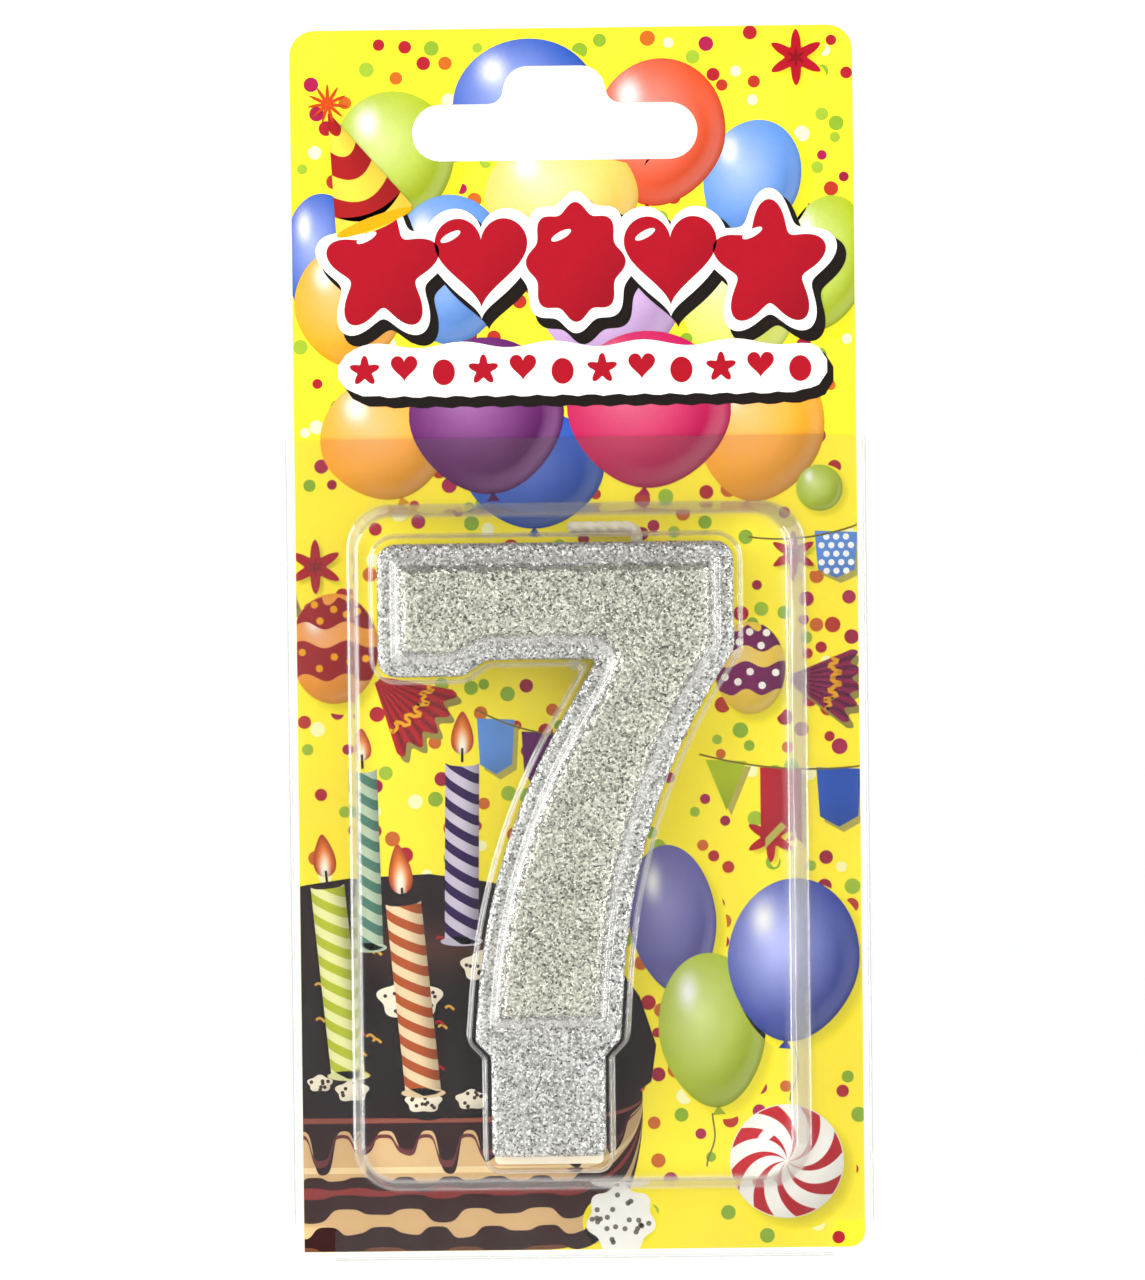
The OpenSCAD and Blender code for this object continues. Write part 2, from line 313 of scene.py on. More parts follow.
class Nodes:
    """A new material and short calls that add its nodes."""

    def __init__(self, name):
        self.mat = bpy.data.materials.new(name)
        self.mat.use_nodes = True
        self.tree = self.mat.node_tree
        self.tree.nodes.clear()
        self.out = self.tree.nodes.new("ShaderNodeOutputMaterial")
        self.coords = self.tree.nodes.new("ShaderNodeTexCoord").outputs["Object"]

    def add(self, kind, settings=None, **inputs):
        node = self.tree.nodes.new("ShaderNode" + kind)
        for key, value in (settings or {}).items():
            setattr(node, key, value)
        for key, value in inputs.items():
            numbered = key[0] == "i" and key[1:].isdigit()
            self.put(node.inputs[int(key[1:]) if numbered else key.replace("_", " ")], value)
        return node

    def put(self, socket, value):
        if isinstance(value, bpy.types.NodeSocket):
            self.tree.links.new(value, socket)
        else:
            socket.default_value = value

    def maths(self, operation, a, b=0.0, c=0.0, clamp=False):
        return self.add("Math", {"operation": operation, "use_clamp": clamp}, i0=a, i1=b, i2=c).outputs[0]

    def vector(self, operation, a, b=(0, 0, 0)):
        return self.add("VectorMath", {"operation": operation}, i0=a, i1=b).outputs[0]

    def noise(self, scale, detail=3.0, rough=0.5, stretch=None):
        where = self.coords
        if stretch:
            where = self.add("Mapping", Vector=self.coords, Scale=stretch).outputs[0]
        made = self.add("TexNoise", Vector=where, Scale=scale, Detail=detail, Roughness=rough)
        return made.outputs["Fac"]

    def spread(self, value, low, high, to_low, to_high):
        """Value carried from the range low..high to to_low..to_high, and held there."""
        return self.add("MapRange", i0=value, i1=low, i2=high, i3=to_low, i4=to_high).outputs[0]

    def mix(self, share, a, b, blend="MIX"):
        node = self.add("Mix", {"data_type": "RGBA", "blend_type": blend})
        self.put(node.inputs[0], share)
        self.put(node.inputs[6], a)
        self.put(node.inputs[7], b)
        return node.outputs[2]

    def bump(self, height, distance, strength=1.0):
        return self.add("Bump", Height=height, Distance=distance, Strength=strength).outputs[0]

    def finish(self, shader):
        self.tree.links.new(shader, self.out.inputs["Surface"])
        return self.mat

    def surface(self, **inputs):
        """The material finished with one Principled shader."""
        return self.finish(self.add("BsdfPrincipled", **inputs).outputs[0])


def rgba(rgb, share=1.0):
    """A colour with its alpha, each of its channels first multiplied by its share."""
    return (*[float(c) for c in np.array(rgb) * share], 1.0)


def board_material(look):
    """Coated board: printed ground on the front, grey core at the cut edges and
    plain fibrous board behind, told apart by depth."""
    n = Nodes("printed_board")
    depth = n.add("SeparateXYZ", Vector=n.coords).outputs[1]
    front = n.maths("LESS_THAN", depth, (CARD_FRONT + 0.01) * MM)
    back = n.maths("GREATER_THAN", depth, -0.01 * MM)
    mottle = n.noise(900, 4, 0.6)
    cloud = n.noise(70, 3)
    cooler = rgba(look.ground, (0.97, 0.93, 1.35))
    ground = n.mix(n.spread(cloud, 0.35, 0.7, 0.0, 1.0), rgba(look.ground), cooler)
    ground = n.mix(n.spread(mottle, 0.3, 0.75, 0.0, 0.22), ground, rgba(look.ground, (0.88, 0.82, 0.8)))
    fibre = n.noise(420, 6, 0.65, (1, 1, 0.25))
    speck = n.add("TexVoronoi", Vector=n.coords, Scale=700.0).outputs["Distance"]
    plain = n.mix(n.spread(fibre, 0.35, 0.7, 0, 1), rgba((0.62, 0.60, 0.55)), rgba((0.78, 0.76, 0.71)))
    plain = n.mix(n.maths("LESS_THAN", speck, 0.09), plain, rgba((0.45, 0.42, 0.37)))
    ply = n.noise(2600, 2, 0.5, (0.05, 1, 0.05))
    core = n.mix(n.spread(ply, 0.4, 0.6, 0, 1), rgba((0.66, 0.62, 0.54)), rgba((0.86, 0.84, 0.78)))
    colour = n.mix(front, n.mix(back, core, plain), ground)
    rough = n.maths("MULTIPLY_ADD", front, -0.42, 0.8)
    rough = n.maths("ADD", rough, n.spread(mottle, 0.3, 0.7, -0.05, 0.05))
    unprinted = n.maths("MULTIPLY", fibre, n.maths("SUBTRACT", 1.0, front))
    grain = n.bump(n.maths("ADD", n.maths("MULTIPLY", mottle, 0.35), unprinted), 0.00002, 0.5)
    return n.surface(Base_Color=colour, Roughness=rough, Specular_IOR_Level=0.25, Normal=grain)


def ink_material():
    """Printed ink: each patch's own colour, a fine screen mottle and the board's satin coat."""
    n = Nodes("printed_ink")
    ink = n.add("Attribute", {"attribute_name": "ink"}).outputs["Color"]
    mottle = n.noise(900, 4, 0.6)
    fine = n.add("TexVoronoi", Vector=n.coords, Scale=5200.0).outputs["Distance"]
    dark = n.mix(1.0, ink, rgba((0.86, 0.85, 0.88)), "MULTIPLY")
    colour = n.mix(n.spread(mottle, 0.3, 0.72, 0.0, 0.45), ink, dark)
    colour = n.mix(n.spread(fine, 0.2, 0.7, 0.0, 0.3), colour, dark)
    rough = n.spread(mottle, 0.3, 0.7, 0.3, 0.42)
    grain = n.bump(mottle, 0.00002, 0.3)
    return n.surface(Base_Color=colour, Roughness=rough, Specular_IOR_Level=0.1, Normal=grain)


def sheet_material(look):
    """Clear formed sheet: see-through head on, milky, bright and dark at its bends,
    where more of the room is mirrored and the light runs longer in the sheet."""
    n = Nodes("clear_sheet")
    facing = n.add("LayerWeight", Blend=0.5).outputs["Facing"]
    mirror = n.maths("MULTIPLY_ADD", n.maths("POWER", facing, 2.1), 0.9, 0.007)
    scuff = n.noise(260, 5, 0.7, (1, 1, 0.2))
    rough = n.spread(scuff, 0.35, 0.75, 0.02, 0.07)
    flow = n.noise(45, 2)
    bend = n.bump(n.maths("ADD", flow, n.maths("MULTIPLY", scuff, 0.03)), 0.0006, 0.35)
    deep = n.spread(facing, 0.18, 1.0, 0.0, 1.0)
    tint = n.mix(deep, rgba((0.994, 0.997, 0.997)), rgba(look.edge_tint))
    clear = n.add("BsdfTransparent", Color=tint).outputs[0]
    haze = n.add("BsdfDiffuse", Color=rgba((0.93, 0.95, 0.96))).outputs[0]
    gloss = n.add("BsdfGlossy", Color=rgba((1, 1, 1)), Roughness=rough, Normal=bend).outputs[0]
    dust = n.spread(scuff, 0.3, 0.8, look.haze * 0.5, look.haze * 1.8)
    cloudy = n.maths("MULTIPLY_ADD", facing, 0.16, dust)
    body = n.add("MixShader", i0=cloudy, i1=clear, i2=haze).outputs[0]
    return n.finish(n.add("MixShader", i0=mirror, i1=body, i2=gloss).outputs[0])


def glitter_material(name, look, loose=False):
    """Glitter in lacquer: small cells, each one flake with its own grey and its
    own tilt, with darker lacquer between them; the raised panel is warmer than the rim."""
    n = Nodes(name)
    cell = n.add("TexVoronoi", Vector=n.coords, Scale=1000.0 / look.flake, Randomness=1.0)
    edge = n.add("TexVoronoi", {"feature": "DISTANCE_TO_EDGE"}, Vector=n.coords, Scale=1000.0 / look.flake)
    large = n.add("TexVoronoi", Vector=n.coords, Scale=1000.0 / look.flake / 2.3)
    pick = n.add("SeparateXYZ", Vector=cell.outputs["Color"])
    grey = n.spread(pick.outputs[0], 0.0, 1.0, 0.0, 1.0)
    depth = n.add("SeparateXYZ", Vector=n.coords).outputs[1]
    raised = n.spread(depth, (NUM_RIM - 0.1) * MM, (NUM_RIM - 0.7) * MM, 0.0, 1.0)
    bright = n.mix(raised, rgba(look.rim), rgba(look.panel))
    ramp = n.add("ValToRGB", Fac=grey)
    ramp.color_ramp.elements[0].position, ramp.color_ramp.elements[0].color = 0.0, (0.12, 0.12, 0.12, 1)
    ramp.color_ramp.elements[1].position, ramp.color_ramp.elements[1].color = 1.0, (1.0, 1.0, 1.0, 1)
    ramp.color_ramp.elements.new(0.3).color = (0.56, 0.56, 0.56, 1)
    colour = n.mix(1.0, bright, ramp.outputs[0], "MULTIPLY")
    drift = n.noise(330, 3)
    dull = n.mix(1.0, colour, rgba((0.8, 0.8, 0.79)), "MULTIPLY")
    colour = n.mix(n.spread(drift, 0.35, 0.7, 0.0, 0.3), colour, dull)
    gap = n.spread(edge.outputs["Distance"], 0.0, 0.07, 0.55, 0.0)
    colour = n.mix(gap, colour, rgba((0.30, 0.30, 0.29)))
    tilt = n.vector("SUBTRACT", cell.outputs["Color"], (0.5, 0.5, 0.5))
    tilt = n.add("VectorMath", {"operation": "SCALE"}, Vector=tilt, Scale=look.tilt).outputs[0]
    more = n.vector("SUBTRACT", large.outputs["Color"], (0.5, 0.5, 0.5))
    more = n.add("VectorMath", {"operation": "SCALE"}, Vector=more, Scale=look.tilt * 0.35).outputs[0]
    base = n.add("NewGeometry").outputs["Normal"]
    normal = n.vector("NORMALIZE", n.vector("ADD", base, n.vector("ADD", tilt, more)))
    rough = n.spread(pick.outputs[1], 0.0, 1.0, 0.2, 0.42)
    return n.surface(
        Base_Color=colour, Metallic=0.9 if loose else 0.8, Roughness=rough, Specular_IOR_Level=0.6,
        Coat_Weight=0.25, Coat_Roughness=0.3, Normal=normal,
    )


def wax_material(look):
    """Paraffin wax: milky and warm, with faint crystal mottling and a dull skin."""
    n = Nodes("wax")
    mottle = n.noise(300, 5, 0.6)
    bloom = n.noise(60, 3)
    colour = n.mix(n.spread(mottle, 0.35, 0.7, 0, 1), rgba(look.wax), rgba(look.wax, (0.93, 0.88, 0.8)))
    colour = n.mix(n.spread(bloom, 0.45, 0.75, 0, 0.35), colour, rgba((0.95, 0.93, 0.88)))
    rough = n.spread(mottle, 0.3, 0.7, 0.36, 0.5)
    return n.surface(
        Base_Color=colour, Roughness=rough, Specular_IOR_Level=0.4, Subsurface_Weight=0.35,
        Subsurface_Radius=(1.0, 0.8, 0.55), Subsurface_Scale=0.0012, Normal=n.bump(mottle, 0.00004, 0.5),
    )


def cotton_material(look):
    """Waxed cotton: fibres along the twist under a thin, uneven skin of wax."""
    n = Nodes("waxed_cotton")
    uv = n.add("UVMap", {"uv_map": "along"}).outputs[0]
    drawn_out = n.add("Mapping", Vector=uv, Scale=(60, 9, 1)).outputs[0]
    fibres = n.add("TexNoise", Vector=drawn_out, Scale=1.0, Detail=4.0).outputs["Fac"]
    skin = n.noise(900, 3)
    shaded = rgba(look.cotton, (0.78, 0.72, 0.6))
    colour = n.mix(n.spread(fibres, 0.35, 0.7, 0, 1), shaded, rgba(look.cotton))
    colour = n.mix(n.spread(skin, 0.5, 0.75, 0, 0.6), colour, rgba((0.95, 0.9, 0.84)))
    rough = n.spread(skin, 0.3, 0.7, 0.7, 0.38)
    return n.surface(
        Base_Color=colour, Roughness=rough, Subsurface_Weight=0.15, Subsurface_Scale=0.0005,
        Normal=n.bump(fibres, 0.00006, 0.7),
    )


def floor_material(look):
    """Plain pale floor with a barely visible unevenness."""
    n = Nodes("pale_floor")
    cloud = n.noise(6, 2)
    colour = n.mix(n.spread(cloud, 0.3, 0.7, 0, 1), rgba(look.floor), rgba(look.floor, 0.985))
    return n.surface(
        Base_Color=colour, Roughness=n.spread(cloud, 0.3, 0.7, 0.7, 0.8), Specular_IOR_Level=0.1,
        Emission_Color=rgba((1, 1, 1)), Emission_Strength=0.38,
    )


# ------------------------------------------------------------------- print

YELLOW = linear((255, 238, 36))
INKS = {
    "white": linear((255, 253, 244)),
    "red": linear((172, 14, 34)),
    "dark_red": linear((128, 14, 22)),
    "blue": linear((38, 84, 178)),
    "sky": linear((92, 142, 214)),
    "lime": linear((170, 188, 20)),
    "orange": linear((228, 76, 22)),
    "gold": linear((240, 168, 10)),
    "amber": linear((250, 170, 14)),
    "cream": linear((252, 206, 84)),
    "lemon": linear((214, 222, 92)),
    "purple": linear((92, 12, 92)),
    "magenta": linear((196, 2, 84)),
    "lilac": linear((196, 160, 206)),
    "haze": linear((96, 92, 160)),
    "indigo": linear((48, 66, 160)),
    "teal": linear((66, 150, 146)),
    "black": linear((26, 20, 16)),
    "cocoa": linear((30, 6, 10)),
    "biscuit": linear((226, 188, 134)),
    "rust": linear((214, 120, 34)),
}


CONFETTI = (
    (172, 28, 76), (158, 26, 60), (206, 104, 30), (186, 52, 34),
    (160, 190, 50), (140, 176, 44), (252, 250, 190), (176, 30, 44),
)


class Inks(Form):
    """Flat patches of ink on the card, stacked a few thousandths of a millimetre
    apart. Points that would fall in the hang slot or off the card go to its edge."""

    def __init__(self, level):
        super().__init__()
        self.colours, self.level = [], level
        hole = slot_outline()
        step = np.linspace(0, 1, 12, endpoint=False)[None, :, None]
        self.edge = (hole[:, None] + (np.roll(hole, -1, 0) - hole)[:, None] * step).reshape(-1, 2)
        self.hole = hole

    def patch(self, x, z, colour, wrap=True, above=0, cap=False):
        """A grid of ink; cap fills the ring that its first row makes. Faces that lie
        wholly in the slot or off the card are left out."""
        flat = np.stack([np.ravel(x), np.ravel(z)], 1)
        cut = inside(flat, self.hole)
        if cut.any():
            far = ((flat[cut][:, None] - self.edge[None]) ** 2).sum(2)
            flat[cut] = self.edge[far.argmin(1)]
        low, high = np.array([CARD_LEFT, CARD_FOOT]) + 0.03, np.array([CARD_RIGHT, CARD_TOP]) - 0.03
        cut |= ((flat < low) | (flat > high)).any(1)
        flat = np.clip(flat, low, high)
        depth = CARD_FRONT - 0.006 - 0.003 * (self.level + above)
        grid = np.stack([flat[:, 0], np.full(len(flat), depth), flat[:, 1]], 1).reshape(*np.shape(x), 3)
        before, first = len(self.faces), self.count
        self.grid(grid, wrap)
        if cap:
            self.faces.append(np.arange(first, first + np.shape(x)[1])[None])
        kept = []
        for block in self.faces[before:]:
            p = flat[block - first]
            area = (p[..., 0] * np.roll(p[..., 1], -1, 1) - p[..., 1] * np.roll(p[..., 0], -1, 1)).sum(1)
            block = np.where((area > 0)[:, None], block, block[:, ::-1])
            kept.append(block[(np.abs(area) > 1e-5) & ~cut[block - first].all(1)])
        self.faces[before:] = kept
        self.colours.append(np.broadcast_to(np.asarray(colour, float), (*np.shape(x), 3)).reshape(-1, 3))

    def fan(self, outline, colour, rings=5, centre=None, above=0):
        """Rings that shrink evenly from an outline to its centre. The colour is three
        numbers, or a function of u and v, which run from -1 to 1 over the patch, and of
        the ring's share t."""
        outline = np.asarray(outline, float)
        centre = outline.mean(0) if centre is None else np.asarray(centre, float)
        t = np.linspace(0.12 if rings > 3 else 0.3, 1, rings + 1)[:, None]
        x = centre[0] + t * (outline[:, 0] - centre[0])
        z = centre[1] + t * (outline[:, 1] - centre[1])
        if callable(colour):
            half = np.abs(outline - centre).max(0)
            colour = colour((x - centre[0]) / half[0], (z - centre[1]) / half[1], t + 0 * x)
        self.patch(x, z, colour, above=above, cap=True)

    def disc(self, cx, cz, r, colour, above=0, n=16):
        """A small plain dot."""
        self.fan(ellipse(cx, cz, r, r, n), colour, 1, above=above)

    def strip(self, line, width, colour, above=0):
        """A band of the given half widths either side of a line."""
        line = np.asarray(line, float)
        along = np.gradient(line, axis=0)
        side = np.stack([-along[:, 1], along[:, 0]], 1)
        side /= np.maximum(np.hypot(*side.T), 1e-9)[:, None]
        w = np.broadcast_to(width, len(line))[:, None]
        rows = np.stack([line - side * w, line + side * w])
        self.patch(rows[..., 0], rows[..., 1], colour, wrap=False, above=above)

    def finish(self, name, mat):
        piece = self.build(name, "card", merge=0, colours=np.concatenate(self.colours))
        piece.data.materials.append(mat)
        return piece


def turned(points, centre, angle):
    """Points turned about a centre by an angle in degrees."""
    c, s = math.cos(math.radians(angle)), math.sin(math.radians(angle))
    return (np.asarray(points) - centre) @ np.array([[c, s], [-s, c]]) + centre


def ellipse(cx, cz, rx, rz, n=48, turn=0):
    a = np.linspace(0, 2 * math.pi, n, endpoint=False)
    return turned(np.stack([cx + rx * np.cos(a), cz + rz * np.sin(a)], 1), (cx, cz), turn)


def star(cx, cz, r, arms, depth, n=90, turn=90, power=1.0, tall=1.0):
    """Radius falls from r at each arm's tip by the share depth between the arms."""
    a = np.linspace(0, 2 * math.pi, n, endpoint=False)
    wave = (0.5 - 0.5 * np.cos(arms * a)) ** power
    rho = r * (1 - depth * wave)
    b = a + math.radians(turn)
    return np.stack([cx + rho * np.cos(b), cz + tall * rho * np.sin(b)], 1)


def heart(cx, cz, r, n=72):
    """A heart: sixteen sine-cubed across, and four cosines of the angle up."""
    a = np.linspace(0, 2 * math.pi, n, endpoint=False)
    x = 16 * np.sin(a) ** 3
    z = 13 * np.cos(a) - 5 * np.cos(2 * a) - 2 * np.cos(3 * a) - np.cos(4 * a)
    return np.stack([cx - r * x / 16, cz + r * (z + 2.5) / 15], 1)


def egg(cx, cz, rx, rz, n=56, turn=0):
    """A balloon's outline: an ellipse whose lower half narrows towards its knot."""
    a = np.linspace(0, 2 * math.pi, n, endpoint=False)
    low = np.clip(-np.sin(a), 0, 1)
    outline = np.stack([cx + rx * np.cos(a) * (1 - 0.16 * low**1.5), cz + rz * np.sin(a)], 1)
    return turned(outline, (cx, cz), turn)


def polygon(corners, per_edge=6):
    """Corners joined by evenly divided straight edges."""
    c = np.asarray(corners, float)
    t = np.linspace(0, 1, per_edge, endpoint=False)[None, :, None]
    return (c[:, None] + (np.roll(c, -1, 0) - c)[:, None] * t).reshape(-1, 2)


def grown(outline, by, shift=(0, 0)):
    """Outline moved away from its middle by a distance, then shifted."""
    middle = (outline.max(0) + outline.min(0)) / 2
    out = outline - middle
    far = np.hypot(*out.T)[:, None]
    return middle + out * (1 + by / far) + np.asarray(shift)


def toned(base, pale, dark=0.6):
    """Balloon shading: pale where the light falls, up and to the left, its own
    colour further out, darker at its lower right edge, with a small bright glint."""
    base = np.asarray(base)

    def colour(u, v, t):
        far = np.sqrt((u + 0.22) ** 2 + (v - 0.2) ** 2)
        lit = np.clip(1 - far / 1.1, 0, 1)[..., None] ** 1.5
        low = np.clip((u - v) * 0.5 + t * 0.5 - 0.35, 0, 1)[..., None]
        glint = np.exp(-(((u + 0.45) / 0.16) ** 2 + ((v - 0.5) / 0.2) ** 2))[..., None]
        back = np.exp(-((t - 0.86) / 0.08) ** 2)[..., None] * np.clip(u * 0.8 - v * 0.6, 0, 1)[..., None]
        c = base * (1 - dark * low)
        soft = 0.45 + 0.55 * base / base.max()
        c = c + (soft - c) * np.clip(pale * lit + 0.25 * back, 0, 1)
        c = c + (np.array([1, 0.99, 0.96]) - c) * 0.95 * glint
        return c

    return colour


def side_lit(base, dark=0.25, reach=1.4):
    """A colour that darkens by a share from the upper left to the lower right."""
    return lambda u, v, t: base * (1.0 - dark * np.clip(u - v, 0, reach) / reach)[..., None]


def shadow_tone(ground, strength=0.75):
    """Soft printed shadow: dark in the middle, the ground colour at its edge."""
    ground, dark = np.asarray(ground), np.array([0.10, 0.09, 0.02])

    def colour(u, v, t):
        k = (strength * np.clip(1.15 - t, 0, 1) ** 0.8 * (t < 0.999))[..., None]
        return ground * (1 - k) + dark * k

    return colour


def balloon(inks, cx, cz, rx, rz, ink, pale, turn=0, shade=True, above=0):
    """A balloon with its knot, and its shadow on the yellow ground when shade is set."""
    if shade:
        low = (cx + 0.9, cz - 0.9)
        inks.fan(egg(*low, rx * 1.06, rz * 1.05, turn=turn), shadow_tone(YELLOW, 0.6), 7, low, above)
    inks.fan(egg(cx, cz, rx, rz, turn=turn), toned(INKS[ink], pale), 9, (cx, cz), above + 1)
    knot = [[cx, cz - rz * 0.97], [cx - 0.75, cz - rz - 0.8], [cx + 0.75, cz - rz - 0.8]]
    knot = turned(knot, (cx, cz), turn)
    inks.fan(polygon(knot, 4), INKS[ink] * 0.75, 2, above=above + 1)


def spiral_candle(inks, foot, top, half, ink, ground, flame_h, above=0):
    """A printed cake candle: a shaded strip, slanting stripes that follow its
    width in an S, a wick line and a flame."""
    foot, top = np.array(foot, float), np.array(top, float)
    up = (top - foot) / np.hypot(*(top - foot))
    side = np.array([up[1], -up[0]])
    length = np.hypot(*(top - foot))
    s = np.linspace(-1, 1, 9)
    bulge = 0.35 * np.sqrt(np.clip(1 - s**2, 0, 1))

    def band(low, high, colour, level):
        p = np.stack([foot + side * (s * half)[:, None] + up * (h - bulge)[:, None] for h in (low, high)])
        light = (1 - 0.5 * np.clip(0.1 + s, 0, 1) ** 1.5 - 0.3 * np.clip(-s - 0.6, 0, 1))[None, :, None]
        inks.patch(p[..., 0], p[..., 1], np.asarray(colour) * light, wrap=False, above=level)

    band(0, length, ground, above + 1)
    pitch = 2.35
    for k in range(-1, int(length / pitch) + 2):
        low = k * pitch - s * 1.1
        band(np.clip(low, 0, length), np.clip(low + 1.15, 0, length), ink, above + 2)
    inks.fan(foot + ellipse(0, 0, half * 1.25, 0.55, 24), np.asarray(ground) * 0.8, 2, above=above + 2)
    head = top + up * 0.1
    inks.strip(np.linspace(head, head + up * 1.6, 4), 0.14, INKS["black"], above + 2)
    a = np.linspace(0, 2 * math.pi, 40, endpoint=False)
    width = half * 0.62 * np.sin(a) * (1 - 0.5 * np.cos(a)) ** 0.9
    rise = 0.9 + flame_h / 2 * (1 + np.cos(a))
    flame = head + side * width[:, None] + up * rise[:, None]

    def glow(u, v, t):
        core = np.exp(-((u / 0.4) ** 2 + ((v + 0.3) / 0.5) ** 2) ** 1.5)[..., None]
        rim, middle = np.array([0.42, 0.03, 0.01]), np.array([0.9, 0.26, 0.02])
        outer = rim + (middle - rim) * np.clip(1.6 - 1.6 * t, 0, 1)[..., None]
        return outer + (np.array([1.0, 0.95, 0.75]) - outer) * core

    inks.fan(flame, glow, 5, head + up * (0.75 + flame_h * 0.42), above + 2)


def party_balloons(inks):
    """The bunch of balloons at the card's head and the loose ones lower down."""
    bunch = [
        (-17.9, -2.4, 6.8, 7.2, "lime", 0.55, 20),
        (-26.2, -14.0, 4.4, 7.4, "blue", 0.75, 0),
        (30.2, -15.0, 4.9, 7.6, "lime", 0.6, -10),
        (22.0, -5.6, 5.4, 6.8, "sky", 0.7, -20),
        (-3.3, 3.4, 8.1, 7.0, "blue", 0.8, 12),
        (11.7, -0.2, 7.4, 8.3, "orange", 0.6, -10),
        (0.7, -7.3, 8.6, 7.0, "cream", 0.8, 0),
        (-23.2, -19.2, 6.2, 6.8, "amber", 0.4, 0),
        (-11.9, -15.3, 6.8, 8.4, "sky", 0.7, 0),
        (20.5, -19.4, 6.6, 7.4, "lemon", 0.6, 0),
        (5.9, -18.1, 8.4, 8.4, "lilac", 0.6, 0),
        (-2.8, -37.8, 7.9, 6.6, "blue", 0.3, 0),
        (-19.3, -34.1, 7.4, 6.9, "amber", 0.45, 14),
        (22.6, -33.3, 7.2, 8.4, "amber", 0.4, -10),
        (-8.0, -31.7, 8.7, 8.8, "purple", 0.3, 4),
        (10.2, -31.2, 9.2, 8.8, "magenta", 0.3, -4),
    ]
    for k, (cx, cz, rx, rz, ink, pale, turn) in enumerate(bunch):
        balloon(inks, cx, cz, rx, rz, ink, pale, turn, shade=k < 5, above=k)
    inks.fan(ellipse(29.6, -40.6, 3.0, 3.0, 32), shadow_tone(YELLOW, 0.5), 5, above=16)
    inks.fan(ellipse(29.2, -40.2, 2.6, 2.6, 32), toned(INKS["lime"], 0.6, 0.5), 7, above=17)
    loose = [
        (12.2, -88.4, 4.9, 8.4, "haze", 0.4, 6),
        (16.5, -100.9, 6.0, 8.7, "lime", 0.65, 4),
        (25.7, -93.1, 7.4, 9.2, "indigo", 1.2, -6),
    ]
    for k, (cx, cz, rx, rz, ink, pale, turn) in enumerate(loose):
        balloon(inks, cx, cz, rx, rz, ink, pale, turn, above=k)
        t = np.linspace(0, 1, 14)
        tail = np.stack([cx - turn * 0.02 + 0.7 * np.sin(5 * t) * t, cz - rz - 0.6 - 6 * t], 1)
        inks.strip(tail, 0.09, linear((120, 110, 60)), above=k + 1)


def party_confetti(inks, look):
    """Dots strewn by a seeded draw, less those that would lie on an earlier one, and
    red flowers of six petals."""
    draw = np.random.default_rng(look.confetti_seed)
    count = look.confetti
    xs = draw.uniform(CARD_LEFT + 0.5, CARD_RIGHT - 0.5, count)
    zs = draw.uniform(CARD_FOOT + 1, CARD_TOP - 0.7, count)
    rs = draw.uniform(0.55, 0.9, count)
    shades = [linear(c) for c in CONFETTI]
    picks = draw.integers(0, len(shades), count)
    apart = np.hypot(xs[:, None] - xs, zs[:, None] - zs) > rs[:, None] + rs
    clear = (apart | (np.arange(count)[:, None] <= np.arange(count))).all(1)
    for x, z, r, p in zip(xs[clear], zs[clear], rs[clear], picks[clear]):
        inks.disc(x, z, r, shades[p], n=20)

    def petals(u, v, t):
        return linear((176, 16, 34)) * (1.0 - 0.45 * (t < 0.35))[..., None]

    for x, z, r in ((27.1, 8.0, 2.9), (-27.4, -48.4, 2.8), (23.3, -79.3, 2.6), (26.2, -47.6, 2.4)):
        inks.fan(star(x + 0.4, z - 0.4, r * 1.15, 6, 0.6, 96), shadow_tone(YELLOW, 0.55), 4, above=1)
        inks.fan(star(x, z, r * 1.1, 6, 0.6, 120, power=0.7), petals, 6, above=2)


def party_title(inks):
    """Five chunky red party shapes with a white edge and a black drop shadow, over
    a slim white band of small ones, in place of any wording."""
    shapes = [
        star(-19.4, -15.2, 6.6, 5, 0.42, 120, tall=1.12),
        heart(-8.4, -14.6, 5.2, 96),
        star(2.2, -14.6, 5.6, 8, 0.16, 120, tall=1.2),
        heart(12.8, -14.6, 5.2, 96),
        star(23.9, -15.2, 6.6, 5, 0.42, 120, tall=1.12),
    ]
    for k, s in enumerate(shapes):
        inks.fan(grown(s, 1.5, (0.8, -1.0)), INKS["black"], 4, above=k % 2)
    for k, s in enumerate(shapes):
        inks.fan(grown(s, 1.25), INKS["white"], 4, above=2 + k % 2)
    for s in shapes:
        inks.fan(s, side_lit(INKS["red"]), 5, above=4)
    for s, cx in zip(shapes, (-21.2, -11.8, 0.6, 10.0, 22.0)):
        inks.fan(ellipse(cx, -11.6, 1.25, 0.42, 20, 28), INKS["white"] * 0.9, 2, above=5)
    x = np.linspace(-24.6, 30.2, 60)
    wave = 0.35 * np.sin((x + 3) * 0.62)
    for dx, dz, half, ink, level in ((0.7, -0.9, 3.2, "black", 6), (0, 0, 2.9, "white", 7)):
        rows = np.stack([-half + 0.12 * np.sin(2.1 * x), half + wave + 0 * x])
        taper = np.sqrt(np.clip(1 - np.abs((x - 2.8) / 27.5) ** 16, 0, 1))
        band = -26.6 + dz + rows * taper
        inks.patch(np.stack([x + dx, x + dx]), band, INKS[ink], wrap=False, above=level)
    for k, cx in enumerate(np.linspace(-21.6, 27.2, 12)):
        cz = -26.55 + 0.25 * math.sin(k * 2.1)
        small = star(cx, cz, 1.75, 5, 0.5, 60, power=0.85)
        shape = (small, heart(cx, cz, 1.5, 48), ellipse(cx, cz, 1.25, 1.45, 36))[k % 3]
        inks.fan(shape, INKS["red"], 2, above=8)


